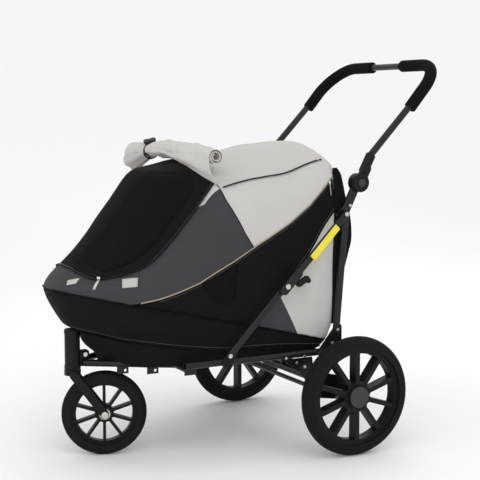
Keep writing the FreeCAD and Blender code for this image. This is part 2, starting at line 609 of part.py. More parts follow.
def cabin_solid(inset):
    levels = [plan_outline(level, inset) for level in CABIN_LEVELS]
    body = Part.makeLoft(levels, True, True)
    roof = Part.makeLoft([roof_outline(station, inset) for station in ROOF_STATIONS], True, True)
    solid = body.common(roof)
    if inset:
        floor = Part.makeBox(900, 1200, 100, V(-450, -900, CABIN_LEVELS[0][0] + CABIN_WALL - 100))
        solid = solid.cut(floor)
    return solid


def side_region(outline):
    """Everything inside a side-view outline, right across the cabin."""
    return slab(outline, -400.0, 400.0)


def grown(outline, gap):
    """Side-view outline pushed out by a gap on each of its sides."""
    face = Part.Face(Part.makePolygon([yz(point) for point in outline + outline[:1]]))
    return face.makeOffset2D(gap, 2).extrude(V(800, 0, 0)).translated(V(-400, 0, 0))


def cabin(parts):
    shell = cabin_solid(0.0).cut(cabin_solid(CABIN_WALL))
    below = side_region(RIM_LINE + ((-760.0, 200.0), (80.0, 200.0)))
    tub = shell.common(below)
    hood = shell.cut(below)
    door_space = side_region(DOOR_OUTLINE)
    parts["front_door"] = hood.common(door_space)
    hood = hood.cut(grown(DOOR_OUTLINE, DOOR_GAP))
    rear_low = REAR_DOOR_HINGE[1] - 4.0
    door_half = CABIN_HALF_WIDTH - 22.0
    arch_top = 722.0
    rear = Part.makeBox(2 * door_half, 120.0, arch_top - rear_low, V(-door_half, -30.0, rear_low))
    corners = [edge for edge in rear.Edges if abs(edge.tangentAt(0).y) > 0.9 and edge.CenterOfMass.z > arch_top - 1]
    rear = rear.makeFillet(60.0, corners)
    band = Part.makeBox(900, 120.0, 900, V(-450, -46.0, 0))
    back_wall = Part.makeBox(2 * (CABIN_HALF_WIDTH - CABIN_WALL - 2), 100.0, 900,
                             V(-(CABIN_HALF_WIDTH - CABIN_WALL - 2), -38.0, 0))
    door = hood.common(rear).common(back_wall)
    opening = rear.makeOffsetShape(DOOR_GAP, 0.01)
    parts["rear_door"] = door
    hood = hood.cut(opening.common(band))
    roof = Part.makeBox(2 * SEAM_X, 1200, 300, V(-SEAM_X, -900, 640.0))
    rear_frame = Part.makeBox(900, 200, 900, V(-450, -38.0, 0))
    parts["rear_frame"] = hood.common(rear_frame)
    hood = hood.cut(rear_frame)
    parts["roof_panel"] = hood.common(roof)
    hood = hood.cut(roof)
    nose = Part.makeBox(900, 400, 300, V(-450, -900, 380.0))
    parts["nose_apron"] = hood.common(nose)
    hood = hood.cut(nose)
    for name, side in SIDES:
        half = Part.makeBox(500, 1200, 900, V(0 if side > 0 else -500, -900, 0))
        parts["side_panel_" + name] = hood.common(half)
    parts["tub"] = tub
    floor_z = CABIN_LEVELS[0][0] + CABIN_WALL
    outline_level = (floor_z, CABIN_LEVELS[0][1], CABIN_LEVELS[0][2], CABIN_LEVELS[0][3])
    board = Part.Face(plan_outline(outline_level, CABIN_WALL + 1.5)).extrude(V(0, 0, BOARD_THICKNESS))
    cushion_level = (floor_z + BOARD_THICKNESS,) + outline_level[1:]
    cushion = Part.Face(plan_outline(cushion_level, CUSHION_INSET)).extrude(V(0, 0, CUSHION_THICKNESS))
    parts["floor_board"] = board
    parts["floor_cushion"] = cushion
    parts["cover_roll"] = cover_roll()


def cover_roll():
    """Rolled-up weather cover lying across the top of the front door."""
    height = ROOF_STATIONS[4][1] + ROLL_RADIUS + 4.0
    left = V(SEAM_X - 6.0, -345.0, height - 6.0)
    right = V(4.0 - SEAM_X, -383.0, height - 8.0)
    middle = V(0, -372.0, height)
    solid = rod(middle, left, ROLL_RADIUS).fuse([rod(middle, right, ROLL_RADIUS),
                                                 Part.makeSphere(ROLL_RADIUS, middle)])
    return solid.removeSplitter()


def build():
    parts = {}
    rear_wheels(parts)
    housing_bolts = caster(parts)
    chassis(parts, housing_bolts)
    brake(parts)
    folding_frame(parts)
    handle(parts)
    cabin(parts)
    return parts


def footprint_shift(parts):
    """Shift that brings the middle of the whole stroller's box to y = 0."""
    box = Part.makeCompound(list(parts.values())).optimalBoundingBox(False, False)
    return V(0, -(box.YMin + box.YMax) / 2, 0)


PARTS = build()
SHIFT = footprint_shift(PARTS)
os.makedirs("parts", exist_ok=True)
for node, shape in PARTS.items():
    shape.translate(SHIFT)
    shape.exportStep(os.path.join("parts", node + ".step"))
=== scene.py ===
"""Looks of a three-wheel pet stroller: sewn cabin, moulded wheels, painted folding frame."""

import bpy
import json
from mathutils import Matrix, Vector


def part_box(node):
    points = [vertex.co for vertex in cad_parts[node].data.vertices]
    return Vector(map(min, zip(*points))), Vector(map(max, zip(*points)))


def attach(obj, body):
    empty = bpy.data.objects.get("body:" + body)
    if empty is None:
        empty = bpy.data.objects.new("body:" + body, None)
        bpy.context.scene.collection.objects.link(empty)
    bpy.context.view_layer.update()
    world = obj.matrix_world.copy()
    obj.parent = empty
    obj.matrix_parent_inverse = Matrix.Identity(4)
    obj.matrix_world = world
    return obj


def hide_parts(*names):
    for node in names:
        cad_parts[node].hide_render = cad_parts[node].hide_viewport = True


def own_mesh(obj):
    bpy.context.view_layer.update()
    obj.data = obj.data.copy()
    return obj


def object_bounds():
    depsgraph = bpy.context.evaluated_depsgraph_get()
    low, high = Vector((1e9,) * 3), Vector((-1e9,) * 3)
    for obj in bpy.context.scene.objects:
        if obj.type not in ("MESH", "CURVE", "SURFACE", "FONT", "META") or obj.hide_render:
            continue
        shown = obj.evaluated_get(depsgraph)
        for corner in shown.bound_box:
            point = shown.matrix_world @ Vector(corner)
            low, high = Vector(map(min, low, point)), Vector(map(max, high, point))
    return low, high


bl_info = {
    "name": "Pet stroller looks",
    "version": (1, 0, 0),
    "blender": (4, 5, 0),
    "location": "3D View > Sidebar > Stroller",
    "description": "Dresses the stroller's frame with fabric, tread, seams, zips and finishes",
    "category": "Add Mesh",
}
import bmesh
import bpy
import json
import math
import numpy as np
from mathutils import Matrix, Vector

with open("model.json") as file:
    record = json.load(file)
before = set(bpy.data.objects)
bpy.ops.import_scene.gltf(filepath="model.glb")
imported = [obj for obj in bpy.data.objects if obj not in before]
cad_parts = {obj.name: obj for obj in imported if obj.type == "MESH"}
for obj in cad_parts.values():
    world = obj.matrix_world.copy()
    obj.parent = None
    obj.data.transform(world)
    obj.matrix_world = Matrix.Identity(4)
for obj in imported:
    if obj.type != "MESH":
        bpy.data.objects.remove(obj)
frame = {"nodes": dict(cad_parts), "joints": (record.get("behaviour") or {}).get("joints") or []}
CAD_LOW, CAD_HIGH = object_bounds()
MM = 0.001
WEAVE_RELIEF = 0.0011
PAD_VOXEL = 0.006
PAD_SWELL = 0.010
SWELL_FRAMES = 20
HEADING = 62.4536
SIDES = (("left", 1), ("right", -1))


def centre_of(node):
    low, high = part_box(node)
    return (low + high) / 2


# Side-view places are millimetres behind the rear axle and above the ground.
AXLE = centre_of("rear_axle")
AXLE_Y = AXLE.y / MM
CABIN_LOW, CABIN_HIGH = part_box("tub")
HALF_WIDTH = CABIN_HIGH.x / MM
JOINTS = {joint["name"]: joint for joint in frame["joints"]}

# height, half width, nose and rear of the cabin's plan outline
CABIN_LEVELS = np.array((
    (252.0, 224.0, -560.0, -44.0), (285.0, 236.0, -596.0, -20.0), (326.0, 240.0, -615.0, -6.0),
    (330.0, 240.0, -648.0, -6.0), (403.0, 240.0, -690.0, 4.0), (432.0, 240.0, -701.0, 7.0),
    (456.0, 240.0, -688.0, 9.0), (502.0, 240.0, -640.0, 14.0), (569.0, 240.0, -575.0, 18.0),
    (708.0, 240.0, -470.0, 2.0), (810.0, 240.0, -395.0, -14.0)))
# the tub's bottom drops towards the caster, over the rails' front ends
FLOOR_LINE = ((-560.0, 228.0), (-190.0, 252.0))
# place along the cabin, and the roof's height at its crown, at the side seam and at the wall
ROOF_STATIONS = np.array((
    (-760.0, 640.0, 600.0, 560.0), (-480.0, 718.0, 662.0, 615.0), (-350.0, 750.0, 688.0, 630.0),
    (-214.0, 767.0, 705.0, 650.0), (-130.0, 785.0, 724.0, 672.0), (-10.0, 797.0, 754.0, 714.0),
    (60.0, 795.0, 756.0, 718.0)))
TUB_RIM = ((80, 283), (-45, 289), (-118, 307), (-265, 344), (-482, 393), (-640, 424), (-760, 446))
TUB_BINDING = ((20, 262), (-177, 278), (-324, 281), (-553, 306), (-691, 342))
DOOR_EDGE = ((-760, 497), (-665, 497), (-659, 490), (-648, 480), (-635, 471), (-619, 465), (-591, 471),
             (-560, 480), (-530, 492), (-503, 508), (-472, 536), (-440, 568), (-376, 643), (-345, 683),
             (-326, 705), (-326, 790), (-760, 790))
DOOR_NET = ((-760, 516), (-655, 512), (-636, 498), (-601, 485), (-568, 497), (-523, 521), (-474, 561),
            (-456, 589), (-406, 649), (-376, 690), (-368, 722), (-760, 722))
PIPING = ((-620, 398), (-535, 413), (-492, 423), (-445, 438), (-393, 457), (-353, 479), (-298, 506), (-244, 535),
          (-199, 560), (-144, 593), (-85, 636), (-23, 702))
GREY_FRONT = ((-338, 790), (-326, 695), (-319, 679), (-311, 653), (-271, 574), (-243, 535))
BLACK_LOW = ((-9, 623), (-41, 584), (-70, 539), (-114, 477), (-169, 407), (-237, 337))
GREY_REAR = ((-169, 407), (-118, 308))
MESH_VENT = ((-389, 453), (-288, 498), (-296, 417), (-310, 398), (-357, 409))
REAR_STRIP = ((-14, 716), (-2, 623), (6, 592), (8, 532), (1, 492), (-5, 439), (-12, 377), (-16, 300))
SEAM_X = 200.0
DOOR_Z = (322.0, 722.0)
DOOR_HALF = 218.0


def spot(x, y, z):
    """Point of the row frame, in metres, from millimetres about the rear axle and the ground."""
    return Vector((x * MM, (y + AXLE_Y) * MM, z * MM))


# ---------------------------------------------------------------- sizes and colours
def length(name, text, value):
    return bpy.props.FloatProperty(name=name, description=text, default=value, unit="LENGTH", min=0.0)


def colour(name, text, value):
    return bpy.props.FloatVectorProperty(name=name, description=text, default=value, size=3, subtype="COLOR",
                                         min=0.0, max=1.0)


class StrollerSizes(bpy.types.PropertyGroup):
    cloth: length("Cloth thickness", "Thickness of the cabin cloth", 0.0016)
    grid: length("Cloth grid", "Spacing of the cloth's mesh", 0.009)
    rounding: length("Corner rounding", "How softly the cabin's corners are rounded", 0.009)
    fold_height: length("Fold height", "Height of the soft folds in the cloth", 0.0055)
    piping: length("Piping radius", "Radius of the beige piping", 0.0017)
    stitch: length("Stitch length", "Length of one stitch", 0.0045)
    zip_width: length("Zip width", "Width of the zip tapes", 0.012)
    roll_radius: length("Roll radius", "Radius of the rolled weather cover", 0.026)
    tread_block: length("Tread block", "Size of one tread block", 0.0052)


class StrollerColours(bpy.types.PropertyGroup):
    grey: colour("Light grey", "Warm light grey cloth", (0.56, 0.545, 0.52))
    charcoal: colour("Charcoal", "Charcoal cloth", (0.052, 0.052, 0.057))
    black: colour("Black", "Black cloth", (0.006, 0.006, 0.0062))
    piping: colour("Piping", "Beige piping", (0.36, 0.29, 0.22))
    paint: colour("Frame paint", "Black powder coat", (0.006, 0.006, 0.0063))
    plastic: colour("Plastic", "Black moulded plastic", (0.008, 0.008, 0.0084))
    rubber: colour("Rubber", "Tyre rubber", (0.010, 0.010, 0.0104))
    band: colour("Band", "Yellow marking band", (0.78, 0.66, 0.03))
    steel: colour("Steel", "Zinc-plated steel", (0.62, 0.60, 0.55))


def sizes():
    return bpy.context.scene.stroller_sizes


def colours():
    return bpy.context.scene.stroller_colours


# ---------------------------------------------------------------- node groups and finishes
def node(tree, kind, **values):
    made = tree.nodes.new(kind)
    for name, value in values.items():
        if name in made.inputs:
            made.inputs[name].default_value = value
        else:
            setattr(made, name, value)
    return made


def math_node(tree, operation, a, b=None):
    made = tree.nodes.new("ShaderNodeMath")
    made.operation = operation
    for index, value in enumerate((a, b)):
        if value is None:
            continue
        if isinstance(value, (int, float)):
            made.inputs[index].default_value = value
        else:
            tree.links.new(value, made.inputs[index])
    return made.outputs[0]


def new_group(name, inputs, outputs):
    tree = bpy.data.node_groups.new(name, "ShaderNodeTree")
    for label, kind, default in inputs:
        socket = tree.interface.new_socket(label, in_out="INPUT", socket_type=kind)
        socket.default_value = default
    for label, kind in outputs:
        tree.interface.new_socket(label, in_out="OUTPUT", socket_type=kind)
    return tree, tree.nodes.new("NodeGroupInput"), tree.nodes.new("NodeGroupOutput")


FLOAT, COLOUR = "NodeSocketFloat", "NodeSocketColor"


def cloth_group():
    """Plain weave with thread colour, slight fading and soft creases."""
    if "woven cloth" in bpy.data.node_groups:
        return bpy.data.node_groups["woven cloth"]
    tree, start, end = new_group(
        "woven cloth",
        (("Color", COLOUR, (0.5, 0.5, 0.5, 1)), ("Threads", FLOAT, 900.0), ("Variation", FLOAT, 0.12),
         ("Creases", FLOAT, 0.3)),
        (("Color", COLOUR), ("Roughness", FLOAT), ("Height", FLOAT)))
    links = tree.links
    place = node(tree, "ShaderNodeTexCoord").outputs["Object"]
    split = node(tree, "ShaderNodeSeparateXYZ")
    links.new(place, split.inputs[0])
    threads = start.outputs["Threads"]
    across = math_node(tree, "ADD", split.outputs["X"], split.outputs["Y"])
    upward = math_node(tree, "SUBTRACT", split.outputs["Z"], math_node(tree, "MULTIPLY", split.outputs["X"], 0.55))
    warp = math_node(tree, "SINE", math_node(tree, "MULTIPLY", math_node(tree, "MULTIPLY", across, threads), 6.283))
    weft = math_node(tree, "SINE", math_node(tree, "MULTIPLY", math_node(tree, "MULTIPLY", upward, threads), 6.283))
    weave = math_node(tree, "MULTIPLY", warp, weft)
    patches = node(tree, "ShaderNodeTexNoise", Scale=7.0, Detail=3.0, Roughness=0.55)
    links.new(place, patches.inputs["Vector"])
    slub = node(tree, "ShaderNodeTexNoise", Scale=420.0, Detail=2.0, Roughness=0.6)
    links.new(place, slub.inputs["Vector"])
    creases = node(tree, "ShaderNodeTexNoise", Scale=26.0, Detail=4.0, Roughness=0.5, Distortion=0.6)
    links.new(place, creases.inputs["Vector"])
    shade = math_node(tree, "ADD", math_node(tree, "SUBTRACT", patches.outputs["Fac"], 0.5),
                      math_node(tree, "MULTIPLY", math_node(tree, "SUBTRACT", slub.outputs["Fac"], 0.5), 0.8))
    shade = math_node(tree, "ADD", shade, math_node(tree, "MULTIPLY", weave, 0.22))
    gain = math_node(tree, "ADD", math_node(tree, "MULTIPLY", shade, start.outputs["Variation"]), 1.0)
    mix = node(tree, "ShaderNodeVectorMath", operation="SCALE")
    links.new(start.outputs["Color"], mix.inputs[0])
    links.new(gain, mix.inputs["Scale"])
    links.new(mix.outputs[0], end.inputs["Color"])
    links.new(math_node(tree, "ADD", math_node(tree, "MULTIPLY", slub.outputs["Fac"], 0.16), 0.74),
              end.inputs["Roughness"])
    height = math_node(tree, "ADD", math_node(tree, "MULTIPLY", weave, 0.10),
                       math_node(tree, "MULTIPLY", creases.outputs["Fac"], start.outputs["Creases"]))
    links.new(height, end.inputs["Height"])
    return tree


def grain_group():
    """Fine moulded or powder-coat grain with dust and rubbed patches."""
    if "surface grain" in bpy.data.node_groups:
        return bpy.data.node_groups["surface grain"]
    tree, start, end = new_group(
        "surface grain", (("Color", COLOUR, (0.1, 0.1, 0.1, 1)), ("Grain", FLOAT, 900.0), ("Rough", FLOAT, 0.4),
                          ("Wear", FLOAT, 0.1)), (("Color", COLOUR), ("Roughness", FLOAT), ("Height", FLOAT)))
    links = tree.links
    place = node(tree, "ShaderNodeTexCoord").outputs["Object"]
    fine = node(tree, "ShaderNodeTexNoise", Detail=2.0)
    links.new(place, fine.inputs["Vector"])
    links.new(start.outputs["Grain"], fine.inputs["Scale"])
    broad = node(tree, "ShaderNodeTexNoise", Scale=11.0, Detail=5.0, Roughness=0.65)
    links.new(place, broad.inputs["Vector"])
    rub = math_node(tree, "MULTIPLY", math_node(tree, "SUBTRACT", broad.outputs["Fac"], 0.5), start.outputs["Wear"])
    gain = math_node(tree, "ADD", math_node(tree, "MULTIPLY", rub, 3.0), 1.0)
    mix = node(tree, "ShaderNodeVectorMath", operation="SCALE")
    links.new(start.outputs["Color"], mix.inputs[0])
    links.new(gain, mix.inputs["Scale"])
    links.new(mix.outputs[0], end.inputs["Color"])
    rough = math_node(tree, "ADD", start.outputs["Rough"], math_node(tree, "MULTIPLY", rub, 1.6))
    links.new(math_node(tree, "ADD", rough, math_node(tree, "MULTIPLY", fine.outputs["Fac"], 0.08)),
              end.inputs["Roughness"])
    links.new(fine.outputs["Fac"], end.inputs["Height"])
    return tree


def finish_material(name, tree_group, settings, bump, constants):
    """Principled material fed by one of the shared groups."""
    if name in bpy.data.materials:
        return bpy.data.materials[name]
    material = bpy.data.materials.new(name)
    material.use_nodes = True
    tree = material.node_tree
    shader = tree.nodes["Principled BSDF"]
    effect = tree.nodes.new("ShaderNodeGroup")
    effect.node_tree = tree_group
    for label, value in settings.items():
        effect.inputs[label].default_value = value
    relief = node(tree, "ShaderNodeBump", Strength=1.0, Distance=bump)
    tree.links.new(effect.outputs["Color"], shader.inputs["Base Color"])
    tree.links.new(effect.outputs["Roughness"], shader.inputs["Roughness"])
    tree.links.new(effect.outputs["Height"], relief.inputs["Height"])
    tree.links.new(relief.outputs["Normal"], shader.inputs["Normal"])
    for label, value in constants.items():
        shader.inputs[label].default_value = value
    return material


def cloth_finish(name, tint, variation=0.12, creases=0.3, sheen=0.25):
    settings = {"Color": (*tint, 1), "Variation": variation, "Creases": creases}
    shader_values = {"Sheen Weight": sheen, "Sheen Roughness": 0.5, "Specular IOR Level": 0.1}
    return finish_material(name, cloth_group(), settings, WEAVE_RELIEF, shader_values)


def hard_finish(name, tint, rough, grain=900.0, wear=0.1, bump=0.0001, **constants):
    settings = {"Color": (*tint, 1), "Grain": grain, "Rough": rough, "Wear": wear}
    return finish_material(name, grain_group(), settings, bump, constants)


def grey_cloth():
    return cloth_finish("grey cloth", colours().grey, 0.07, 0.5, 0.12)


def charcoal_cloth():
    return cloth_finish("charcoal cloth", colours().charcoal, 0.16, 0.45, 0.03)


def black_cloth():
    return cloth_finish("black cloth", colours().black, 0.25, 0.4, 0.0)


def piping_cloth():
    return cloth_finish("beige piping", colours().piping, 0.2, 0.1)


def webbing():
    return cloth_finish("black webbing", (0.005, 0.005, 0.005), 0.3, 0.1, 0.0)


def net_cloth():
    """Open black netting: round holes in a staggered grid."""
    if "black netting" in bpy.data.materials:
        return bpy.data.materials["black netting"]
    material = cloth_finish("black netting", (0.005, 0.005, 0.0052), 0.2, 0.1, 0.0)
    tree = material.node_tree
    shader = tree.nodes["Principled BSDF"]
    place = node(tree, "ShaderNodeTexCoord").outputs["Object"]
    cells = node(tree, "ShaderNodeTexVoronoi", Scale=420.0, Randomness=0.25)
    tree.links.new(place, cells.inputs["Vector"])
    thread = math_node(tree, "GREATER_THAN", cells.outputs["Distance"], 0.34)
    cover = math_node(tree, "ADD", math_node(tree, "MULTIPLY", thread, 0.55), 0.40)
    tree.links.new(cover, shader.inputs["Alpha"])
    return material


def frame_paint():
    return hard_finish("black powder coat", colours().paint, 0.30, 1600.0, 0.10, 0.00006,
                       **{"Specular IOR Level": 0.25, "Coat Weight": 0.15, "Coat Roughness": 0.2})


def black_plastic():
    return hard_finish("black moulded plastic", colours().plastic, 0.42, 1300.0, 0.10, 0.00010,
                       **{"Specular IOR Level": 0.15})


def gloss_plastic():
    return hard_finish("glossy black plastic", (0.006, 0.006, 0.0062), 0.12, 500.0, 0.05, 0.00002,
                       **{"Coat Weight": 0.3, "Coat Roughness": 0.08})


def tyre_rubber():
    return hard_finish("tyre rubber", colours().rubber, 0.72, 700.0, 0.16, 0.00022,
                       **{"Specular IOR Level": 0.1})


def foam_skin():
    return hard_finish("handle foam", (0.006, 0.006, 0.0062), 0.88, 1500.0, 0.12, 0.00045,
                       **{"Specular IOR Level": 0.08})


def plated_steel():
    return hard_finish("zinc-plated steel", colours().steel, 0.26, 1500.0, 0.25, 0.00004, Metallic=1.0)


def yellow_band():
    return hard_finish("yellow band", colours().band, 0.38, 900.0, 0.06, 0.00004)


def dress(piece, *materials):
    """Gives the piece these materials and keeps which face has which."""
    faces = piece.data.polygons
    chosen = [0] * len(faces)
    faces.foreach_get("material_index", chosen)
    piece.data.materials.clear()
    for material in materials:
        piece.data.materials.append(material)
    faces.foreach_set("material_index", chosen)


# ---------------------------------------------------------------- mesh helpers
def add_object(name, mesh_data):
    piece = bpy.data.objects.new(name, mesh_data)
    bpy.context.scene.collection.objects.link(piece)
    return piece


def from_bmesh(name, bm, smooth=True):
    data = bpy.data.meshes.new(name)
    bm.to_mesh(data)
    bm.free()
    data.polygons.foreach_set("use_smooth", [smooth] * len(data.polygons))
    return add_object(name, data)


def flattened(piece, *finishes):
    """The piece with its modifiers made part of its mesh."""
    finishes = finishes or tuple(piece.data.materials)
    depsgraph = bpy.context.evaluated_depsgraph_get()
    data = bpy.data.meshes.new_from_object(piece.evaluated_get(depsgraph), depsgraph=depsgraph)
    made = add_object(piece.name + "_made", data)
    name = piece.name
    bpy.data.objects.remove(piece)
    made.name = name
    dress(made, *finishes)
    return made


def joined(name, pieces):
    """One object holding several finished meshes."""
    bm = bmesh.new()
    materials = []
    for piece in pieces:
        own = list(piece.data.materials)
        materials += [finish for finish in own if finish not in materials]
        first = len(bm.faces)
        bm.from_mesh(piece.data)
        bm.faces.ensure_lookup_table()
        for face in bm.faces[first:]:
            face.material_index = materials.index(own[min(face.material_index, len(own) - 1)])
        bpy.data.objects.remove(piece)
    made = from_bmesh(name, bm)
    dress(made, *materials)
    return made


def tube(name, points, radius, material, flat=1.0, closed=False, sides=8):
    """Round or flattened cord along a smooth line."""
    line = smooth_line(points, closed)
    bm = bmesh.new()
    rings = []
    up = Vector((0, 0, 1))
    for index, point in enumerate(line):
        before = line[index - 1] if index or closed else point
        after = line[(index + 1) % len(line)] if index < len(line) - 1 or closed else point
        along = (after - before).normalized()
        side = along.cross(up)
        side = side.normalized() if side.length > 1e-4 else Vector((1, 0, 0))
        top = side.cross(along)
        rings.append([bm.verts.new(point + side * radius * math.cos(t) + top * radius * flat * math.sin(t))
                      for t in np.linspace(0, 2 * math.pi, sides, endpoint=False)])
    pairs = list(zip(rings, rings[1:])) + ([(rings[-1], rings[0])] if closed else [])
    for a, b in pairs:
        for k in range(sides):
            bm.faces.new((a[k], b[k], b[(k + 1) % sides], a[(k + 1) % sides]))
    if not closed:
        bm.faces.new(rings[0])
        bm.faces.new(rings[-1][::-1])
    bmesh.ops.recalc_face_normals(bm, faces=bm.faces)
    piece = from_bmesh(name, bm)
    dress(piece, material)
    return piece


def smooth_line(points, closed=False, step=0.006):
    """Evenly spaced points along a Catmull-Rom line through the given ones."""
    points = [Vector(p) for p in points]
    count = len(points)
    line = []
    for index in range(count if closed else count - 1):
        if closed:
            p0, p1, p2, p3 = (points[(index + k) % count] for k in (-1, 0, 1, 2))
        else:
            p0, p1, p2, p3 = (points[min(max(index + k, 0), count - 1)] for k in (-1, 0, 1, 2))
        pieces = max(1, int((p2 - p1).length / step))
        for part in range(pieces):
            t = part / pieces
            line.append(0.5 * ((2 * p1) + (p2 - p0) * t + (2 * p0 - 5 * p1 + 4 * p2 - p3) * t * t
                               + (3 * p1 - p0 - 3 * p2 + p3) * t ** 3))
    if not closed:
        line.append(points[-1])
    return line


# ---------------------------------------------------------------- the cabin's shape
def smoothed_levels():
    """The plan outline's values at every 2 mm of height, with the creases eased."""
    heights = np.arange(CABIN_LEVELS[0, 0], CABIN_LEVELS[-1, 0] + 1, 2.0)
    kernel = np.exp(-0.5 * (np.arange(-8, 9) / 3.0) ** 2)
    kernel /= kernel.sum()
    columns = [heights]
    for index in (1, 2, 3):
        values = np.interp(heights, CABIN_LEVELS[:, 0], CABIN_LEVELS[:, index])
        columns.append(np.convolve(np.pad(values, 8, mode="edge"), kernel, mode="valid"))
    return columns


LEVEL_TABLE = smoothed_levels()
TAPER_T = np.linspace(1.0, 0.0, 80)
TAPER_X = (1 - TAPER_T) ** 2 * 240 + 2 * TAPER_T * (1 - TAPER_T) * 210 + TAPER_T ** 2 * 50
TAPER_Y = (1 - TAPER_T) ** 2 * 250 + 2 * TAPER_T * (1 - TAPER_T) * 100


def cabin_field(x, y, z, softness):
    """Below zero inside the cabin, above zero outside it; all values in millimetres."""
    across = np.abs(x)
    half, nose, rear = (np.interp(z, LEVEL_TABLE[0], LEVEL_TABLE[k]) for k in (1, 2, 3))
    setback = np.interp(across, TAPER_X, TAPER_Y) + 9 * np.minimum(across / 50, 1) ** 2 - 9
    steep = np.interp(across, TAPER_X, np.abs(np.gradient(TAPER_Y, TAPER_X)))
    crown, seam, wall = (np.interp(y, ROOF_STATIONS[:, 0], ROOF_STATIONS[:, k]) for k in (1, 2, 3))
    inner = (crown - seam) * np.minimum(across / SEAM_X, 1) ** 2.5
    outer = (seam - wall) * np.clip((across - SEAM_X) / (HALF_WIDTH - SEAM_X), 0, 2) ** 1.4
    limits = np.stack([across - half, (nose + setback - y) / np.sqrt(1 + steep ** 2), z - crown + inner + outer,
                       y - rear, np.interp(y, *zip(*FLOOR_LINE)) - z])
    top = limits.max(0)
    return top + softness * np.log(np.exp((limits - top) / softness).sum(0))


def spine_of(points):
    """Nearest point of the line inside the cabin that the cloth is measured from."""
    front, back = np.array((0.0, -440.0, 425.0)), np.array((0.0, -120.0, 480.0))
    line = back - front
    share = np.clip((points - front) @ line / (line @ line), 0, 1)
    return front + share[:, None] * line


def cast_to_cabin(points, softness):
    """Moves points along their rays from the spine until they lie on the cabin's surface."""
    start = spine_of(points)
    direction = points - start
    direction /= np.linalg.norm(direction, axis=1)[:, None]
    near, far = np.zeros(len(points)), np.full(len(points), 700.0)
    for _ in range(26):
        middle = (near + far) / 2
        place = start + direction * middle[:, None]
        inside = cabin_field(*place.T, softness) < 0
        near = np.where(inside, middle, near)
        far = np.where(inside, far, middle)
    return start + direction * near[:, None], direction


# folds pulled into the cloth: side-view start and end, width and height in millimetres
SIDE_FOLDS = (
    ((-30, 700), (-60, 520), 26, 4.0), ((-10, 640), (-75, 360), 22, 3.5), ((-52, 600), (-30, 330), 16, -3.0),
    ((-90, 440), (-60, 320), 14, 3.0), ((-200, 300), (-250, 345), 10, 3.0), ((-225, 296), (-290, 350), 9, -2.5),
    ((-255, 292), (-325, 352), 10, 2.8), ((-480, 372), (-640, 400), 13, 2.5), ((-470, 345), (-620, 330), 15, -2.5),
    ((-560, 300), (-600, 395), 12, 2.5), ((-330, 540), (-420, 470), 22, 3.0), ((-230, 600), (-330, 560), 24, 3.0),
    ((-120, 700), (-260, 650), 24, 3.5), ((-60, 735), (-180, 690), 18, -2.5), ((-430, 560), (-540, 470), 20, 3.0),
    ((-300, 690), (-420, 600), 18, -3.0), ((-600, 455), (-520, 480), 12, 2.5), ((-110, 560), (-60, 480), 18, 3.0))


def fold_relief(points):
    """Height of the soft folds at each point."""
    height = np.zeros(len(points))
    flat = points[:, 1:]
    scale = sizes().fold_height / 0.004
    for start, end, width, rise in SIDE_FOLDS:
        a, line = np.array(start, float), np.subtract(end, start).astype(float)
        share = np.clip(((flat - a) @ line) / (line @ line), 0, 1)
        gap = np.linalg.norm(flat - a - share[:, None] * line, axis=1)
        swell = 0.35 + 0.65 * np.sin(np.pi * np.clip(share, 0.02, 0.98))
        fade = np.clip(np.abs(points[:, 0]) / 120, 0, 1) * swell
        height += rise * fade * np.exp(-0.5 * (gap / width) ** 2)
    x, y, z = points.T
    ripple = (np.sin(0.031 * y + 0.023 * z + 1.3 * np.sin(0.017 * x)) + np.sin(0.047 * y - 0.029 * z + 0.4)
              + np.sin(0.037 * x + 0.021 * y + 0.9) * 0.8)
    return scale * (height + 0.9 * ripple)


def box_cloud(low, high, step):
    """Grid of points on the faces of a box, with its quads."""
    bm = bmesh.new()
    counts = [max(2, int((high[k] - low[k]) / step)) for k in range(3)]
    for axis in range(3):
        u, v = (axis + 1) % 3, (axis + 2) % 3
        for end in (0, 1):
            rows = []
            for i in range(counts[u] + 1):
                row = []
                for j in range(counts[v] + 1):
                    place = [0.0, 0.0, 0.0]
                    place[axis] = (low, high)[end][axis]
                    place[u] = low[u] + (high[u] - low[u]) * i / counts[u]
                    place[v] = low[v] + (high[v] - low[v]) * j / counts[v]
                    row.append(bm.verts.new(place))
                rows.append(row)
            for i in range(counts[u]):
                for j in range(counts[v]):
                    quad = (rows[i][j], rows[i + 1][j], rows[i + 1][j + 1], rows[i][j + 1])
                    bm.faces.new(quad if end else quad[::-1])
    bmesh.ops.remove_doubles(bm, verts=bm.verts, dist=0.01)
    return bm


def split_along(bm, line, axis, keep):
    """Cuts the cloth along a straight-sided line seen along one axis, where keep(x, y, z) is true."""
    u, v = [k for k in range(3) if k != axis]
    for start, end in zip(line, line[1:]):
        a, along = Vector(start), Vector(end) - Vector(start)
        reach = along.length
        along.normalize()
        chosen = []
        for face in bm.faces:
            centre = face.calc_center_median()
            if not keep(*centre):
                continue
            place = Vector((centre[u], centre[v])) - a
            if -6 < place.dot(along) < reach + 6 and abs(place.x * along.y - place.y * along.x) < 25:
                chosen.append(face)
        parts = set(chosen)
        for face in chosen:
            parts.update(face.edges)
            parts.update(face.verts)
        point, normal = [0.0] * 3, [0.0] * 3
        point[u], point[v] = start
        normal[u], normal[v] = -along.y, along.x
        bmesh.ops.bisect_plane(bm, geom=list(parts), dist=0.05, plane_co=point, plane_no=normal)


def within(outline, y, z):
    """True where a point of the side view lies inside a closed outline."""
    inside = False
    for (y0, z0), (y1, z1) in zip(outline, outline[1:] + outline[:1]):
        if (z0 > z) != (z1 > z) and y < y0 + (z - z0) / (z1 - z0) * (y1 - y0):
            inside = not inside
    return inside


def height_at(line, y):
    """Height of a line at one place along the cabin; the line runs either way."""
    ordered = sorted(line)
    return float(np.interp(y, [p[0] for p in ordered], [p[1] for p in ordered]))


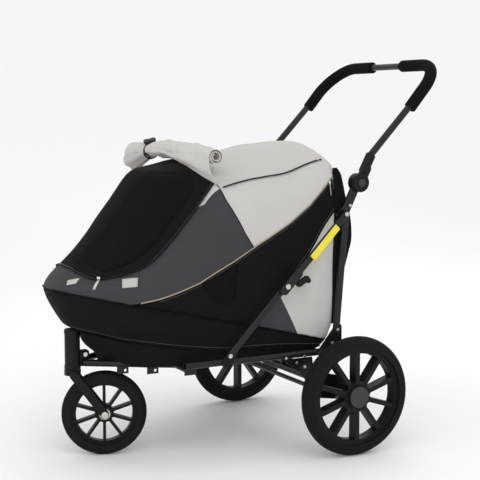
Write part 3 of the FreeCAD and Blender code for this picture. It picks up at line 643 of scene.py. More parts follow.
def place_at(line, z):
    ordered = sorted((p[1], p[0]) for p in line)
    return float(np.interp(z, [p[0] for p in ordered], [p[1] for p in ordered]))


TUB, ROOF, SIDE, DOOR, REAR_DOOR = range(5)
GREY, CHARCOAL, BLACK, NET = range(4)
REAR_ARCH = ((-DOOR_HALF, DOOR_Z[0]), (-DOOR_HALF, 650.0), (-204.0, 694.0), (-160.0, DOOR_Z[1]),
             (160.0, DOOR_Z[1]), (204.0, 694.0), (DOOR_HALF, 650.0), (DOOR_HALF, DOOR_Z[0]))
REAR_NET = ((-170.0, 400.0), (-170.0, 610.0), (-130.0, 655.0), (130.0, 655.0), (170.0, 610.0), (170.0, 400.0))


def panel_of(x, y, z, rearward):
    """Which panel and which cloth a spot on the cabin belongs to."""
    if z < height_at(TUB_RIM, y):
        return TUB, BLACK
    if within(DOOR_EDGE, y, z) and not rearward:
        return DOOR, NET if within(DOOR_NET, y, z) else BLACK
    if rearward:
        if within(REAR_ARCH, x, z):
            return REAR_DOOR, NET if within(REAR_NET, x, z) else BLACK
        return SIDE, BLACK
    if abs(x) < SEAM_X and z > 640:
        return ROOF, GREY
    if y > place_at(GREY_FRONT, z) and z > height_at(PIPING, y):
        return SIDE, GREY
    if z > height_at(PIPING, y):
        return SIDE, CHARCOAL
    if within(MESH_VENT, y, z):
        return SIDE, NET
    if y < place_at(BLACK_LOW, z):
        return SIDE, BLACK
    return SIDE, CHARCOAL if y < place_at(GREY_REAR, z) else GREY


def cabin_mesh():
    """One closed cabin surface, cut along every seam; each face carries its panel and its cloth."""
    step = sizes().grid / MM * 1.0
    bm = box_cloud((-242.0, -705.0, 250.0), (242.0, 20.0, 795.0), step)
    bm.verts.ensure_lookup_table()
    points = np.array([v.co for v in bm.verts])
    points, direction = cast_to_cabin(points, sizes().rounding / MM)
    points = points + direction * np.clip(fold_relief(points), -4, 6)[:, None] - direction * 2.0
    for vertex, point in zip(bm.verts, points):
        vertex.co = point
    side = lambda x, y, z: abs(x) > 30 and y < 8
    split_along(bm, TUB_RIM, 0, lambda x, y, z: True)
    split_along(bm, DOOR_EDGE[:-1], 0, lambda x, y, z: y < -300)
    split_along(bm, DOOR_NET + DOOR_NET[:1], 0, lambda x, y, z: y < -300)
    split_along(bm, PIPING, 0, side)
    split_along(bm, GREY_FRONT, 0, side)
    split_along(bm, BLACK_LOW, 0, lambda x, y, z: abs(x) > 200)
    split_along(bm, GREY_REAR, 0, lambda x, y, z: abs(x) > 200)
    split_along(bm, MESH_VENT + MESH_VENT[:1], 0, lambda x, y, z: abs(x) > 200)
    split_along(bm, ((-SEAM_X, 640.0), (-SEAM_X, 800.0)), 1, lambda x, y, z: y < -2)
    split_along(bm, ((SEAM_X, 640.0), (SEAM_X, 800.0)), 1, lambda x, y, z: y < -2)
    split_along(bm, REAR_ARCH + REAR_ARCH[:1], 1, lambda x, y, z: y > -45)
    split_along(bm, REAR_NET + REAR_NET[:1], 1, lambda x, y, z: y > -45)
    bm.normal_update()
    panel = bm.faces.layers.int.new("panel")
    for face in bm.faces:
        x, y, z = face.calc_center_median()
        face[panel], face.material_index = panel_of(x, y, z, face.normal.y > 0.6)
    for vertex in bm.verts:
        vertex.co = spot(*vertex.co)
    return bm


CLOTH = {}


def cabin_cloth():
    """The cut cabin surface and a search tree over it, made once."""
    if not CLOTH:
        from mathutils.bvhtree import BVHTree
        bm = cabin_mesh()
        CLOTH["mesh"] = bm
        CLOTH["tree"] = BVHTree.FromBMesh(bm)
    return CLOTH["mesh"], CLOTH["tree"]


def panel_piece(name, panels):
    """The named panels as one sheet with its own thickness."""
    source, _ = cabin_cloth()
    bm = source.copy()
    layer = bm.faces.layers.int["panel"]
    unwanted = [face for face in bm.faces if face[layer] not in panels]
    bmesh.ops.delete(bm, geom=unwanted, context="FACES")
    piece = from_bmesh(name, bm)
    lining = cloth_finish("black lining", colours().black, 0.2, 0.15, 0.0)
    dress(piece, grey_cloth(), charcoal_cloth(), black_cloth(), net_cloth(), lining, lining, lining, net_cloth())
    thickness = piece.modifiers.new("thickness", "SOLIDIFY")
    thickness.material_offset = 4
    thickness.thickness = sizes().cloth
    thickness.offset = -1.0
    return piece


def on_side(y, z, side, proud=0.0):
    """Spot on the cabin's side cloth at one place of the side view."""
    _, tree = cabin_cloth()
    start = spot(side * 400, y, z)
    hit, normal, _, _ = tree.ray_cast(start, Vector((-side, 0, 0)), 0.5)
    return hit + normal * proud if hit else None


def seated(place, proud):
    """The nearest spot on the cloth, raised a little."""
    _, tree = cabin_cloth()
    hit, normal, _, _ = tree.find_nearest(place)
    return hit + normal * proud


def on_front(x, z, proud=0.0):
    _, tree = cabin_cloth()
    hit, normal, _, _ = tree.ray_cast(spot(x, -900, z), Vector((0, 1, 0)), 0.8)
    return hit + normal * proud


def on_rear(x, z, proud=0.0):
    _, tree = cabin_cloth()
    hit, normal, _, _ = tree.ray_cast(spot(x, 200, z), Vector((0, -1, 0)), 0.8)
    return hit + normal * proud


def on_roof(x, y, proud=0.0):
    _, tree = cabin_cloth()
    hit, normal, _, _ = tree.ray_cast(spot(x, y, 1000), Vector((0, 0, -1)), 0.8)
    return hit + normal * proud


def dense(line, step=12.0):
    """More points along a straight-sided line."""
    points = []
    for (u0, v0), (u1, v1) in zip(line, line[1:]):
        count = max(1, int(math.hypot(u1 - u0, v1 - v0) / step))
        points += [(u0 + (u1 - u0) * k / count, v0 + (v1 - v0) * k / count) for k in range(count)]
    return points + [line[-1]]


def side_line(line, side, proud=0.0):
    spots = [on_side(y, z, side, proud) for y, z in dense(line)]
    return [place for place in spots if place]


def blocks_tree():
    """Geometry nodes: small blocks repeated along a line."""
    if "blocks along a line" in bpy.data.node_groups:
        return bpy.data.node_groups["blocks along a line"]
    tree = bpy.data.node_groups.new("blocks along a line", "GeometryNodeTree")
    face = tree.interface
    face.new_socket("Line", in_out="INPUT", socket_type="NodeSocketGeometry")
    face.new_socket("Spacing", in_out="INPUT", socket_type="NodeSocketFloat")
    face.new_socket("Block", in_out="INPUT", socket_type="NodeSocketVector")
    face.new_socket("Material", in_out="INPUT", socket_type="NodeSocketMaterial")
    face.new_socket("Blocks", in_out="OUTPUT", socket_type="NodeSocketGeometry")
    start, end = tree.nodes.new("NodeGroupInput"), tree.nodes.new("NodeGroupOutput")
    spread = tree.nodes.new("GeometryNodeResampleCurve")
    if hasattr(spread, "mode"):
        spread.mode = "LENGTH"
    block = tree.nodes.new("GeometryNodeMeshCube")
    tangent = tree.nodes.new("GeometryNodeInputTangent")
    turn = tree.nodes.new("FunctionNodeAlignRotationToVector")
    turn.axis = "X"
    copies = tree.nodes.new("GeometryNodeInstanceOnPoints")
    real = tree.nodes.new("GeometryNodeRealizeInstances")
    paint = tree.nodes.new("GeometryNodeSetMaterial")
    link = tree.links.new
    link(start.outputs["Line"], spread.inputs["Curve"])
    link(start.outputs["Spacing"], spread.inputs["Length"])
    link(start.outputs["Block"], block.inputs["Size"])
    link(tangent.outputs[0], turn.inputs["Vector"])
    link(spread.outputs[0], copies.inputs["Points"])
    link(block.outputs["Mesh"], copies.inputs["Instance"])
    link(turn.outputs[0], copies.inputs["Rotation"])
    link(copies.outputs[0], real.inputs[0])
    link(real.outputs[0], paint.inputs["Geometry"])
    link(start.outputs["Material"], paint.inputs["Material"])
    link(paint.outputs[0], end.inputs[0])
    return tree


def set_inputs(modifier, values):
    for item in modifier.node_group.interface.items_tree:
        if item.item_type == "SOCKET" and item.in_out == "INPUT" and item.name in values:
            modifier[item.identifier] = values[item.name]


def blocks_along(name, points, spacing, block, material):
    """Plain mesh of blocks along a line, such as a row of stitches or zip teeth."""
    curve = bpy.data.curves.new(name, "CURVE")
    curve.dimensions = "3D"
    spline = curve.splines.new("POLY")
    spline.points.add(len(points) - 1)
    for point, place in zip(spline.points, points):
        point.co = (*place, 1.0)
    piece = add_object(name, curve)
    modifier = piece.modifiers.new("repeat", "NODES")
    modifier.node_group = blocks_tree()
    set_inputs(modifier, {"Spacing": spacing, "Block": block, "Material": material})
    return flattened(piece, material)


def stitches(name, points, material):
    reach = sizes().stitch
    return blocks_along(name, points, reach * 1.5, (reach, 0.0007, 0.0007), material)


def thread(tint_name, tint):
    return cloth_finish(tint_name, tint, 0.1, 0.1)


def zipper(name, points, material, teeth=True):
    """Flat tape with a row of coil teeth down its middle."""
    width = sizes().zip_width
    tape = tube(name + "_tape", points, width / 2, material, flat=0.14, sides=6)
    if not teeth:
        return [tape]
    row = blocks_along(name + "_teeth", points, 0.0028, (0.0014, 0.0042, 0.0030), gloss_plastic())
    return [tape, row]


def ring_tree():
    """Geometry nodes: one ring of tread blocks round a wheel."""
    if "ring of tread blocks" in bpy.data.node_groups:
        return bpy.data.node_groups["ring of tread blocks"]
    tree = bpy.data.node_groups.new("ring of tread blocks", "GeometryNodeTree")
    for label, kind in (("Count", "Int"), ("Radius", "Float"), ("Phase", "Float"), ("Block", "Vector"),
                        ("Lean", "Vector"), ("Offset", "Vector"), ("Centre", "Vector"), ("Turn", "Vector"),
                        ("Material", "Material")):
        kind = "NodeSocket" + kind
        tree.interface.new_socket(label, in_out="INPUT", socket_type=kind)
    tree.interface.new_socket("Blocks", in_out="OUTPUT", socket_type="NodeSocketGeometry")
    start, end = tree.nodes.new("NodeGroupInput"), tree.nodes.new("NodeGroupOutput")
    link = tree.links.new
    row = tree.nodes.new("GeometryNodeMeshLine")
    link(start.outputs["Count"], row.inputs["Count"])
    index = tree.nodes.new("GeometryNodeInputIndex").outputs[0]
    share = math_node(tree, "DIVIDE", math_node(tree, "ADD", index, start.outputs["Phase"]), start.outputs["Count"])
    angle = math_node(tree, "MULTIPLY", share, 2 * math.pi)
    place = tree.nodes.new("ShaderNodeCombineXYZ")
    link(math_node(tree, "MULTIPLY", math_node(tree, "SINE", angle), math_node(
        tree, "MULTIPLY", start.outputs["Radius"], -1.0)), place.inputs["Y"])
    link(math_node(tree, "MULTIPLY", math_node(tree, "COSINE", angle), start.outputs["Radius"]), place.inputs["Z"])
    put = tree.nodes.new("GeometryNodeSetPosition")
    link(row.outputs[0], put.inputs["Geometry"])
    link(place.outputs[0], put.inputs["Position"])
    block = tree.nodes.new("GeometryNodeMeshCube")
    link(start.outputs["Block"], block.inputs["Size"])
    tilt = tree.nodes.new("GeometryNodeTransform")
    link(block.outputs["Mesh"], tilt.inputs["Geometry"])
    link(start.outputs["Lean"], tilt.inputs["Rotation"])
    turn = tree.nodes.new("ShaderNodeCombineXYZ")
    link(angle, turn.inputs["X"])
    copies = tree.nodes.new("GeometryNodeInstanceOnPoints")
    link(put.outputs[0], copies.inputs["Points"])
    link(tilt.outputs[0], copies.inputs["Instance"])
    link(turn.outputs[0], copies.inputs["Rotation"])
    shift = tree.nodes.new("GeometryNodeTransform")
    link(copies.outputs[0], shift.inputs["Geometry"])
    link(start.outputs["Offset"], shift.inputs["Translation"])
    stand = tree.nodes.new("GeometryNodeTransform")
    link(shift.outputs[0], stand.inputs["Geometry"])
    link(start.outputs["Centre"], stand.inputs["Translation"])
    link(start.outputs["Turn"], stand.inputs["Rotation"])
    real = tree.nodes.new("GeometryNodeRealizeInstances")
    paint = tree.nodes.new("GeometryNodeSetMaterial")
    link(stand.outputs[0], real.inputs[0])
    link(real.outputs[0], paint.inputs["Geometry"])
    link(start.outputs["Material"], paint.inputs["Material"])
    link(paint.outputs[0], end.inputs[0])
    return tree


def tread_ring(name, values):
    piece = add_object(name, bpy.data.meshes.new(name))
    modifier = piece.modifiers.new("tread", "NODES")
    modifier.node_group = ring_tree()
    set_inputs(modifier, values)
    return flattened(piece, values["Material"])


# ---------------------------------------------------------------- the stroller's pieces
NODE_FINISHES = (
    ("tyre_", tyre_rubber), ("rim_", black_plastic), ("hub_cap_", gloss_plastic), ("bearings_", plated_steel),
    ("front_axle", plated_steel), ("chassis_fasteners", plated_steel), ("frame_rivets", plated_steel),
    ("knuckle_rivets", plated_steel), ("rear_axle", plated_steel), ("caster_stem", plated_steel),
    ("brake_pin", plated_steel), ("grip_", foam_skin), ("handle_socket", black_plastic),
    ("hub_button", gloss_plastic), ("lock_lever", black_plastic), ("caster_fork", black_plastic),
    ("caster_housing", black_plastic), ("brake_levers", black_plastic), ("link_feet", black_plastic),
    ("", frame_paint))


def finish_nodes():
    """Gives each hard part of the frame its own finish."""
    for name, part in frame["nodes"].items():
        if part.hide_render:
            continue
        for start, finish in NODE_FINISHES:
            if name.startswith(start):
                for slot in part.material_slots:
                    slot.material = finish()
                break


def collapse(piece):
    """Lets a soft piece sink towards the tub's rim as the frame folds."""
    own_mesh(piece)


def make_tub():
    tub = flattened(panel_piece("lower_cabin", (TUB,)))
    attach(tub, "chassis")
    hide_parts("tub")


def make_hood():
    hood = flattened(panel_piece("hood", (ROOF, SIDE)))
    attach(hood, "chassis")
    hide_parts("roof_panel", "side_panel_left", "side_panel_right", "rear_frame", "nose_apron")
    collapse(hood)


def make_window():
    window = flattened(panel_piece("front_window", (DOOR,)))
    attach(window, "front_flap")
    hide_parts("front_door")
    collapse(window)


def make_rear_door():
    door = flattened(panel_piece("rear_net_door", (REAR_DOOR,)))
    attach(door, "rear_flap")
    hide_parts("rear_door")
    collapse(door)


# across, then the roll's centre (side view), its radius, and the hem where the cover meets the window
ROLL_STATIONS = np.array((
    (-214.0, -372.0, 750.0, 37.0, -382.0, 708.0), (-196.0, -368.0, 753.0, 34.0, -380.0, 716.0),
    (-172.0, -358.0, 760.0, 25.0, -362.0, 738.0), (-150.0, -352.0, 766.0, 18.0, -352.0, 752.0),
    (-120.0, -350.0, 770.0, 22.0, -354.0, 756.0), (-60.0, -349.0, 771.0, 25.0, -360.0, 756.0),
    (0.0, -348.0, 770.0, 26.0, -362.0, 752.0), (70.0, -346.0, 768.0, 26.0, -363.0, 739.0),
    (130.0, -341.0, 765.0, 24.0, -356.0, 720.0), (170.0, -335.0, 762.0, 22.0, -346.0, 706.0),
    (200.0, -330.0, 760.0, 20.0, -322.0, 690.0)))
ROLL_TURNS = 2.2


def roll_section(x):
    """Centre, radius and hem of the rolled cover at one place across."""
    spread = np.linspace(-14, 14, 9)
    return [float(np.mean(np.interp(x + spread, ROLL_STATIONS[:, 0], ROLL_STATIONS[:, k]))) for k in range(1, 6)]


def roll_row(x, wraps):
    """One cross-section of the cover: up from the hem, over the top and round inside itself."""
    y, z, radius, hem_y, hem_z = roll_section(x)
    front = Vector((y - radius, z))
    hem = Vector((hem_y, hem_z))
    row = []
    for share in np.linspace(0, 1, 10)[:-1]:
        place = hem.lerp(front, share)
        bulge = 9.0 * math.sin(math.pi * share) ** 1.5 - 5.0 * math.exp(-((share - 0.22) / 0.08) ** 2)
        row.append((x, place.x - bulge, place.y + 2.0 * math.sin(0.05 * x + 5 * share)))
    for turn in wraps:
        reach = radius * (1 - 0.62 * turn / wraps[-1])
        swell = 1 + 0.07 * math.sin(2 * turn + 0.035 * x) + 0.05 * math.sin(0.09 * x - turn)
        swell += 0.04 * math.sin(0.21 * x + 2.0 * turn)
        angle = math.pi - turn
        row.append((x, y + reach * swell * math.cos(angle), z + reach * swell * math.sin(angle)))
    return row


def make_roll():
    """The weather cover, rolled up along the front edge of the roof."""
    wraps = np.linspace(0, ROLL_TURNS * 2 * math.pi, 70)
    bm = bmesh.new()
    across = np.linspace(ROLL_STATIONS[-1, 0], ROLL_STATIONS[0, 0], 84)
    rows = [[bm.verts.new(spot(*place)) for place in roll_row(x, wraps)] for x in across]
    for a, b in zip(rows, rows[1:]):
        for k in range(len(a) - 1):
            bm.faces.new((a[k], b[k], b[k + 1], a[k + 1]))
    area = sum(face.calc_area() for face in bm.faces)
    roll = from_bmesh("rolled_cover", bm)
    dress(roll, grey_cloth())
    wall = roll.modifiers.new("thickness", "SOLIDIFY")
    wall.thickness = sizes().cloth * 1.4
    wall.offset = 0.0
    roll = flattened(roll)
    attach(roll, "chassis")
    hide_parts("cover_roll")
    collapse(roll)


def toggle(name, place, along):
    """Barrel cord stop with domed ends."""
    bm = bmesh.new()
    outline = ((4.0, -17.0), (6.2, -15.5), (7.4, -11.0), (6.6, -4.0), (6.3, 0.0), (6.6, 4.0), (7.4, 11.0),
               (6.2, 15.5), (4.0, 17.0))
    turn = Vector((0, 0, 1)).rotation_difference(along)
    rings = []
    for radius, height in outline:
        rings.append([bm.verts.new(place + turn @ Vector((radius * math.cos(t), radius * math.sin(t), height)) * MM)
                      for t in np.linspace(0, 2 * math.pi, 20, endpoint=False)])
    for a, b in zip(rings, rings[1:]):
        for k in range(20):
            bm.faces.new((a[k], a[(k + 1) % 20], b[(k + 1) % 20], b[k]))
    bm.faces.new(rings[0][::-1])
    bm.faces.new(rings[-1])
    piece = from_bmesh(name, bm)
    dress(piece, gloss_plastic())
    return piece


def make_ties():
    """Elastic loop and toggle that hold the roll near its far end."""
    y, z, radius, hem_y, hem_z = roll_section(-150.0)
    reach = radius * 1.04 + 1.0
    points = [spot(-150.0 + 3 * math.sin(t), y + reach * math.cos(t), z + reach * math.sin(t))
              for t in np.linspace(0, 2 * math.pi, 18, endpoint=False)]
    pieces = [tube("tie", points, 0.0019, webbing(), closed=True),
              tube("tie_end", [spot(-150, y - reach * 0.6, z + reach * 0.75), spot(-146, y - reach - 1, z),
                               spot(-142, hem_y - 4, hem_z - 4)], 0.0019, webbing()),
              toggle("stop", spot(-150, y - 4, z + reach + 5), Vector((0.15, 1.0, 0.22)).normalized())]
    ties = joined("roll_ties", pieces)
    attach(ties, "chassis")
    collapse(ties)


# outer edge of the strip that stands behind each rear corner of the hood, side view
CORNER_STRIP = ((-8, 728), (3, 716), (10, 692), (19, 654), (34, 600), (38, 565), (37, 537), (28, 505),
                (9, 429), (3, 326))


def corner_strip(name, side):
    """Doubled webbing strip that edges a rear corner."""
    outer = smooth_line([spot(side * 241, y, z) for y, z in CORNER_STRIP], step=0.008)
    bm = bmesh.new()
    rows = []
    for place in outer:
        height = place.z / MM
        inner = on_side(-16.0, min(height, 712.0), side, 0.0006) or spot(side * 236, -16, height)
        inner = Vector((inner.x, inner.y, place.z))
        rows.append([bm.verts.new(inner.lerp(place, share)) for share in np.linspace(0, 1, 5)])
    for a, b in zip(rows, rows[1:]):
        for k in range(4):
            bm.faces.new((a[k], a[k + 1], b[k + 1], b[k]))
    piece = from_bmesh(name, bm)
    dress(piece, webbing())
    wall = piece.modifiers.new("thickness", "SOLIDIFY")
    wall.thickness, wall.offset = 0.0028, 0.0
    return flattened(piece)


def patch(name, corners):
    """Flat reflective patch sewn on the nose."""
    bm = bmesh.new()
    grid = []
    a, b, c, d = (Vector(p) for p in corners)
    for v in np.linspace(0, 1, 7):
        row = [a.lerp(b, u).lerp(d.lerp(c, u), v) for u in np.linspace(0, 1, 9)]
        grid.append([bm.verts.new(seated(place, 0.0014)) for place in row])
    for low, high in zip(grid, grid[1:]):
        for k in range(8):
            bm.faces.new((low[k], low[k + 1], high[k + 1], high[k]))
    bmesh.ops.recalc_face_normals(bm, faces=bm.faces)
    piece = from_bmesh(name, bm)
    dress(piece, cloth_finish("reflective tape", (0.50, 0.49, 0.46), 0.1, 0.05))
    wall = piece.modifiers.new("thickness", "SOLIDIFY")
    wall.thickness, wall.offset = 0.0014, 0.0
    return flattened(piece)


def make_trim():
    """Reflective patches on the nose and the strips at the rear corners."""
    pieces = [corner_strip("strip_" + name, side) for name, side in SIDES]
    for name, corners in (("near", ((176, -572, 472), (196, -539, 475), (202, -543, 453), (183, -575, 450))),
                          ("far", ((71, -676, 465), (92, -651, 471), (94, -662, 458), (78, -682, 454)))):
        pieces.append(patch("patch_" + name, [seated(spot(*corner), 0.0012) for corner in corners]))
    trim = joined("hood_trim", pieces)
    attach(trim, "chassis")
    collapse(trim)


def seam_pieces():
    """Piping, bindings, zips and stitching on both sides of the hood."""
    beige, dark = piping_cloth(), webbing()
    pale = thread("pale thread", (0.42, 0.41, 0.39))
    grey_thread = thread("grey thread", (0.16, 0.16, 0.165))
    hood, tub = [], []
    for name, side in SIDES:
        hood.append(tube("piping_" + name, side_line(PIPING[1:], side, 0.001), sizes().piping, beige))
        hood.append(tube("front_seam_" + name, side_line(GREY_FRONT[1:], side, 0.0004), 0.0011, dark))
        for offset in (-7.0, 7.0):
            line = [(y + offset, z) for y, z in REAR_STRIP]
            hood.append(stitches("strip_%s_%d" % (name, offset), side_line(line, side, 0.0009), pale))
        line = [(y, z - 7.0) for y, z in PIPING[2:]]
        hood.append(stitches("piping_stitch_" + name, side_line(line, side, 0.0008), grey_thread))
        line = [(y - 6.0, z + 3.0) for y, z in BLACK_LOW]
        hood.append(stitches("low_stitch_" + name, side_line(line, side, 0.0008), grey_thread))
        hood.append(tube("vent_edge_" + name, side_line(MESH_VENT + MESH_VENT[:1], side, 0.0006), 0.0012, dark))
        top = [on_roof(side * SEAM_X, y, 0.001) for y in np.linspace(-312, -30, 30)]
        hood += zipper("top_zip_" + name, top, dark)
        rim = side_line([p for p in TUB_RIM if p[0] < 0], side, 0.0012)
        tub.append(tube("rim_tape_" + name, rim, 0.0040, dark, flat=0.3))
        binding = side_line(TUB_BINDING, side, 0.0012)
        tub.append(tube("binding_" + name, binding, 0.0036, dark, flat=0.35))
        line = [(y, z + 9.0) for y, z in TUB_BINDING]
        tub.append(stitches("binding_stitch_" + name, side_line(line, side, 0.0008), grey_thread))
    return hood, tub


def make_seams():
    hood, tub = seam_pieces()
    sewn = joined("hood_seams", hood)
    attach(sewn, "chassis")
    collapse(sewn)
    low = joined("lower_seams", tub)
    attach(low, "chassis")


def zip_pull(name, place, drop=26.0, lean=(0, 0), material=None):
    """Slider with a small drop-shaped pull hanging from it."""
    low = place + Vector((lean[0], lean[1], -drop)) * MM
    slider = tube(name + "_slider", [place + Vector((0, 0, 5)) * MM, place - Vector((0, 0, 5)) * MM], 0.0042,
                  material or plated_steel(), flat=0.6)
    pull = tube(name + "_pull", [place - Vector((0, 0, 3)) * MM, (place + low) / 2, low], 0.0030,
                material or plated_steel(), flat=0.35)
    return [slider, pull]


def on_sill(x, proud):
    """Spot where the window's lower edge crosses the nose."""
    height = 480.0
    for _ in range(12):
        place = on_front(x, height, proud)
        height = (height + height_at(DOOR_EDGE, place.y / MM - AXLE_Y)) / 2
    return place


def make_window_zip():
    dark = webbing()
    parts = []
    rows = {}
    for side in (1, -1):
        line = side_line(DOOR_EDGE[8:15], side, 0.0010)
        rows[side] = line
    sill = [on_sill(x, 0.0010) for x in np.linspace(118, -118, 30)]
    lows = {side: side_line(DOOR_EDGE[5:9], side, 0.0010) for side in (1, -1)}
    ring = rows[1][::-1] + lows[1][::-1][1:] + sill + lows[-1][:-1] + rows[-1]
    parts += zipper("window_zip", ring, dark)
    for side in (1, -1):
        edge = side_line(DOOR_NET[3:10], side, 0.0008)
        parts.append(tube("net_edge_%d" % side, edge, 0.0026, dark, flat=0.35))
    for x in (128, 145):
        place = side_line([(-612, 467), (-600, 469)], 1, 0.003)[0] if x > 130 else on_front(x, 467, 0.003)
        parts += zip_pull("window_pull_%d" % x, place, 26.0, (2, -14), plated_steel())
    made = joined("window_zip_line", parts)
    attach(made, "front_flap")
    collapse(made)


def make_rear_zip():
    arch = [on_rear(x, z, 0.0012) for x, z in dense(REAR_ARCH[:1] + REAR_ARCH[1:], 14.0)]
    parts = zipper("arch_zip", arch, webbing())
    net = [on_rear(x, z, 0.0010) for x, z in dense(REAR_NET + REAR_NET[:1], 14.0)]
    parts.append(tube("net_binding", net, 0.0034, webbing(), flat=0.35))
    parts.append(stitches("net_stitch", [p + Vector((0, 0.0012, 0)) for p in net],
                          thread("grey thread", (0.16, 0.16, 0.165))))
    made = joined("rear_door_seams", parts)
    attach(made, "rear_flap")
    collapse(made)


def make_pulls():
    """Metal zip pulls on the near rear corner, one on each side."""
    parts = []
    for name, side in SIDES:
        parts += zip_pull("rear_pull_" + name, on_side(-30, 690, side, 0.004), 34.0, (0, 4))
        top = on_roof(side * SEAM_X, -40, 0.003)
        parts += zip_pull("top_pull_" + name, top, 22.0, (side * 16, 6))
    made = joined("zip_pulls", parts)
    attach(made, "chassis")
    collapse(made)


def make_cushion():
    """Padded floor cushion: a crowned box pad with a piped edge."""
    low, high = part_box("floor_cushion")
    bm = bmesh.new()
    bmesh.ops.create_cube(bm, size=1.0)
    size, middle = high - low, (high + low) / 2
    bmesh.ops.scale(bm, vec=(size.x - 0.02, size.y - 0.02, size.z - 0.012), verts=bm.verts)
    bmesh.ops.subdivide_edges(bm, edges=bm.edges, cuts=14, use_grid_fill=True)
    for vertex in bm.verts:
        share = (vertex.co.y + size.y / 2) / size.y
        vertex.co.x *= min(1.0, 0.30 + 0.70 * min(1.0, max(share, 0) / 0.42) ** 0.7)
        vertex.co += middle
    pad = from_bmesh("floor_pad", bm)
    dress(pad, cloth_finish("quilted cushion", (0.030, 0.030, 0.032), 0.15, 0.35))
    voxels = pad.modifiers.new("even", "REMESH")
    voxels.mode, voxels.voxel_size = "VOXEL", PAD_VOXEL
    pad = flattened(pad)
    rest = np.array([v.co for v in pad.data.vertices])
    cloth = pad.modifiers.new("swell", "CLOTH")
    cloth.settings.use_pressure = True
    cloth.settings.uniform_pressure_force = 4.0
    cloth.settings.effector_weights.gravity = 0.0
    scene = bpy.context.scene
    for step in range(1, SWELL_FRAMES + 1):
        scene.frame_set(step)
    depsgraph = bpy.context.evaluated_depsgraph_get()
    shape = bpy.data.meshes.new_from_object(pad.evaluated_get(depsgraph), depsgraph=depsgraph)
    moved = np.array([v.co for v in shape.vertices]) - rest
    reach = np.linalg.norm(moved, axis=1)[:, None]
    capped = rest + moved * np.minimum(1.0, PAD_SWELL / np.maximum(reach, 1e-9))
    pad.modifiers.clear()
    capped = np.clip(capped, np.array(low) + 0.001, np.array(high) - 0.001)
    pad.data.vertices.foreach_set("co", capped.ravel())
    scene.frame_set(1)
    smooth = pad.modifiers.new("finer", "SUBSURF")
    smooth.levels = smooth.render_levels = 1
    pad = flattened(pad)
    dress(pad, cloth_finish("quilted cushion", (0.030, 0.030, 0.032), 0.15, 0.35))
    pad.data.polygons.foreach_set("use_smooth", [True] * len(pad.data.polygons))
    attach(pad, "chassis")
    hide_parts("floor_cushion")


def make_tread():
    """Fine knobs on the rear tyres and shallow ribs on the front one."""
    block = sizes().tread_block
    front_joint = JOINTS["front_wheel"]
    heading = math.atan2(front_joint["axis"][1], front_joint["axis"][0])
    for name, body, section, turn, rows, share in (
            ("left", "wheel_left", 0.024, 0.0, 9, 1.0), ("right", "wheel_right", 0.024, 0.0, 9, 1.0),
            ("front", "wheel_front", 0.0196, heading, 5, 1.5)):
        low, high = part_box("tyre_" + name)
        centre = (low + high) / 2
        radius = (high.z - low.z) / 2
        rings = []
        for k in range(rows):
            lean = (k - (rows - 1) / 2) / ((rows - 1) / 2) * math.radians(72 if rows > 5 else 40)
            out = radius - section + (section - 0.0004) * math.cos(lean)
            offset = (section - 0.0004) * math.sin(lean)
            pitch = block * (1.45 if rows > 5 else 3.0)
            rings.append(tread_ring("tread_%s_%d" % (name, k), {
                "Count": int(2 * math.pi * out / pitch), "Radius": out, "Phase": 0.5 * (k % 2),
                "Block": (block * 0.85, block * share * 0.8 * (1 if rows > 5 else 2.0), 0.0016),
                "Lean": (0.0, lean, 0.0), "Offset": (offset, 0.0, 0.0), "Centre": tuple(centre),
                "Turn": (0.0, 0.0, turn), "Material": tyre_rubber()}))
        tread = joined("tread_" + name, rings)
        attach(tread, body)


def make_bands():
    """Plain yellow marking bands round the upper links."""
    for name, side in SIDES:
        low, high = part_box("upper_link_" + name)
        x_low, x_high = (low.x - 0.0006, high.x + 0.0006)
        if side > 0:
            x_low = x_high - 0.010
        else:
            x_high = x_low + 0.010
        bm = bmesh.new()
        start, end = Vector((-26.0, 582.0)), Vector((-100.0, 505.0))
        along = (end - start).normalized()
        across = Vector((-along.y, along.x)) * 9.2
        corners = [start + across, end + across, end - across, start - across]
        rings = []
        for x in (x_low, x_high):
            rings.append([bm.verts.new((x, *spot(0, c.x, c.y)[1:])) for c in corners])
        for k in range(4):
            bm.faces.new((rings[0][k], rings[1][k], rings[1][(k + 1) % 4], rings[0][(k + 1) % 4]))
        bm.faces.new(rings[0])
        bm.faces.new(rings[1])
        bmesh.ops.recalc_face_normals(bm, faces=bm.faces)
        bmesh.ops.bevel(bm, geom=list(bm.edges), offset=0.0012, segments=2, affect="EDGES")
        band = from_bmesh("band_" + name, bm, smooth=False)
        dress(band, yellow_band())
        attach(band, "upper_links")


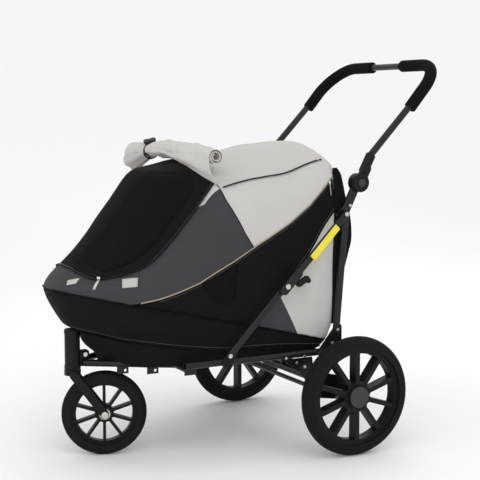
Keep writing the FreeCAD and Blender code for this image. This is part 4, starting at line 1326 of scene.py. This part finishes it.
def make_stage():
    """Pale floor, soft light and the camera."""
    low = CAD_LOW
    bm = bmesh.new()
    rows = []
    for y, z in [(-6.0, 0.0), (3.0, 0.0)] + [(3.0 + 2.0 * math.sin(t), 2.0 - 2.0 * math.cos(t))
                                             for t in np.linspace(0.1, math.pi / 2, 12)] + [(5.0, 7.0)]:
        rows.append((y, z))
    heading = math.radians(HEADING)
    back = Vector((-math.sin(heading), math.cos(heading), 0))
    side = Vector((back.y, -back.x, 0))
    line = [[bm.verts.new(back * y + side * x + Vector((0, 0, low.z + z - 0.0005))) for x in (-9, 9)]
            for y, z in rows]
    for a, b in zip(line, line[1:]):
        bm.faces.new((a[0], a[1], b[1], b[0]))
    floor = from_bmesh("floor", bm)
    material = bpy.data.materials.new("pale floor")
    material.use_nodes = True
    shader = material.node_tree.nodes["Principled BSDF"]
    shader.inputs["Base Color"].default_value = (0.93, 0.93, 0.93, 1)
    shader.inputs["Roughness"].default_value = 0.9
    dress(floor, material)
    world = bpy.data.worlds.new("studio")
    world.use_nodes = True
    world.node_tree.nodes["Background"].inputs[0].default_value = (1.0, 1.0, 1.0, 1)
    world.node_tree.nodes["Background"].inputs[1].default_value = 0.95
    bpy.context.scene.world = world
    bpy.context.scene.view_settings.view_transform = "Standard"
    for name, place, energy, size in (("key", (2.6, -1.2, 2.6), 22, 2.2), ("fill", (0.4, -3.2, 1.8), 12, 2.6),
                                      ("rear", (-1.8, 2.2, 2.4), 14, 2.2)):
        data = bpy.data.lights.new(name, "AREA")
        data.energy, data.size = energy, size
        lamp = add_object(name, data)
        lamp.location = place
        lamp.rotation_euler = (Vector((0, 0, 0.45)) - Vector(place)).to_track_quat("-Z", "Y").to_euler()
    data = bpy.data.cameras.new("camera")
    data.lens, data.sensor_width = 90.05, 36.0
    camera = add_object("camera", data)
    tilt = math.radians(6.2389)
    away = Vector((math.sin(heading) * math.cos(tilt), -math.cos(heading) * math.cos(tilt), math.sin(tilt)))
    camera.location = (2.843, -1.643 + AXLE_Y * MM, 0.878)
    camera.rotation_euler = away.to_track_quat("Z", "Y").to_euler()
    bpy.context.scene.camera = camera


def operator(idname, label, text, work):
    """One sidebar button that makes one group of pieces."""
    def execute(self, context):
        work()
        return {"FINISHED"}
    return type("STROLLER_OT_" + idname, (bpy.types.Operator,),
                {"__doc__": text, "bl_idname": "stroller." + idname, "bl_label": label, "execute": execute})


OPERATORS = (
    operator("tub", "Lower cabin", "Sew the lower cabin", make_tub),
    operator("hood", "Hood", "Sew the hood's roof, sides and rear", make_hood),
    operator("window", "Front window", "Sew the netting window", make_window),
    operator("rear_door", "Rear door", "Sew the netting door at the back", make_rear_door),
    operator("roll", "Rolled cover", "Roll up the weather cover", make_roll),
    operator("ties", "Roll ties", "Tie the rolled cover", make_ties),
    operator("trim", "Trim", "Sew on patches and corner strips", make_trim),
    operator("seams", "Seams", "Add piping, tapes, zips and stitches", make_seams),
    operator("window_zip", "Window zip", "Add the window's zip", make_window_zip),
    operator("rear_zip", "Rear zip", "Add the rear door's zip", make_rear_zip),
    operator("pulls", "Zip pulls", "Hang the zip pulls", make_pulls),
    operator("cushion", "Cushion", "Fill the floor cushion", make_cushion),
    operator("tread", "Tread", "Cut the tyres' tread", make_tread),
    operator("bands", "Bands", "Put the marking bands on", make_bands),
    operator("nodes", "Frame finishes", "Give the frame its finishes", finish_nodes),
    operator("stage", "Stage", "Set floor, light and camera", make_stage),
)


class STROLLER_PT_panel(bpy.types.Panel):
    """Buttons for every piece"""
    bl_idname = "STROLLER_PT_panel"
    bl_label = "Pet stroller"
    bl_space_type = "VIEW_3D"
    bl_region_type = "UI"
    bl_category = "Stroller"

    def draw(self, context):
        for made in OPERATORS:
            self.layout.operator(made.bl_idname)


CLASSES = (StrollerSizes, StrollerColours, *OPERATORS, STROLLER_PT_panel)


def register():
    for made in CLASSES:
        bpy.utils.register_class(made)
    bpy.types.Scene.stroller_sizes = bpy.props.PointerProperty(type=StrollerSizes)
    bpy.types.Scene.stroller_colours = bpy.props.PointerProperty(type=StrollerColours)


def unregister():
    del bpy.types.Scene.stroller_colours
    del bpy.types.Scene.stroller_sizes
    for made in reversed(CLASSES):
        bpy.utils.unregister_class(made)


def main():
    register()
    for made in OPERATORS:
        getattr(bpy.ops.stroller, made.bl_idname.split(".")[1])()


if __name__ == "__main__":
    main()
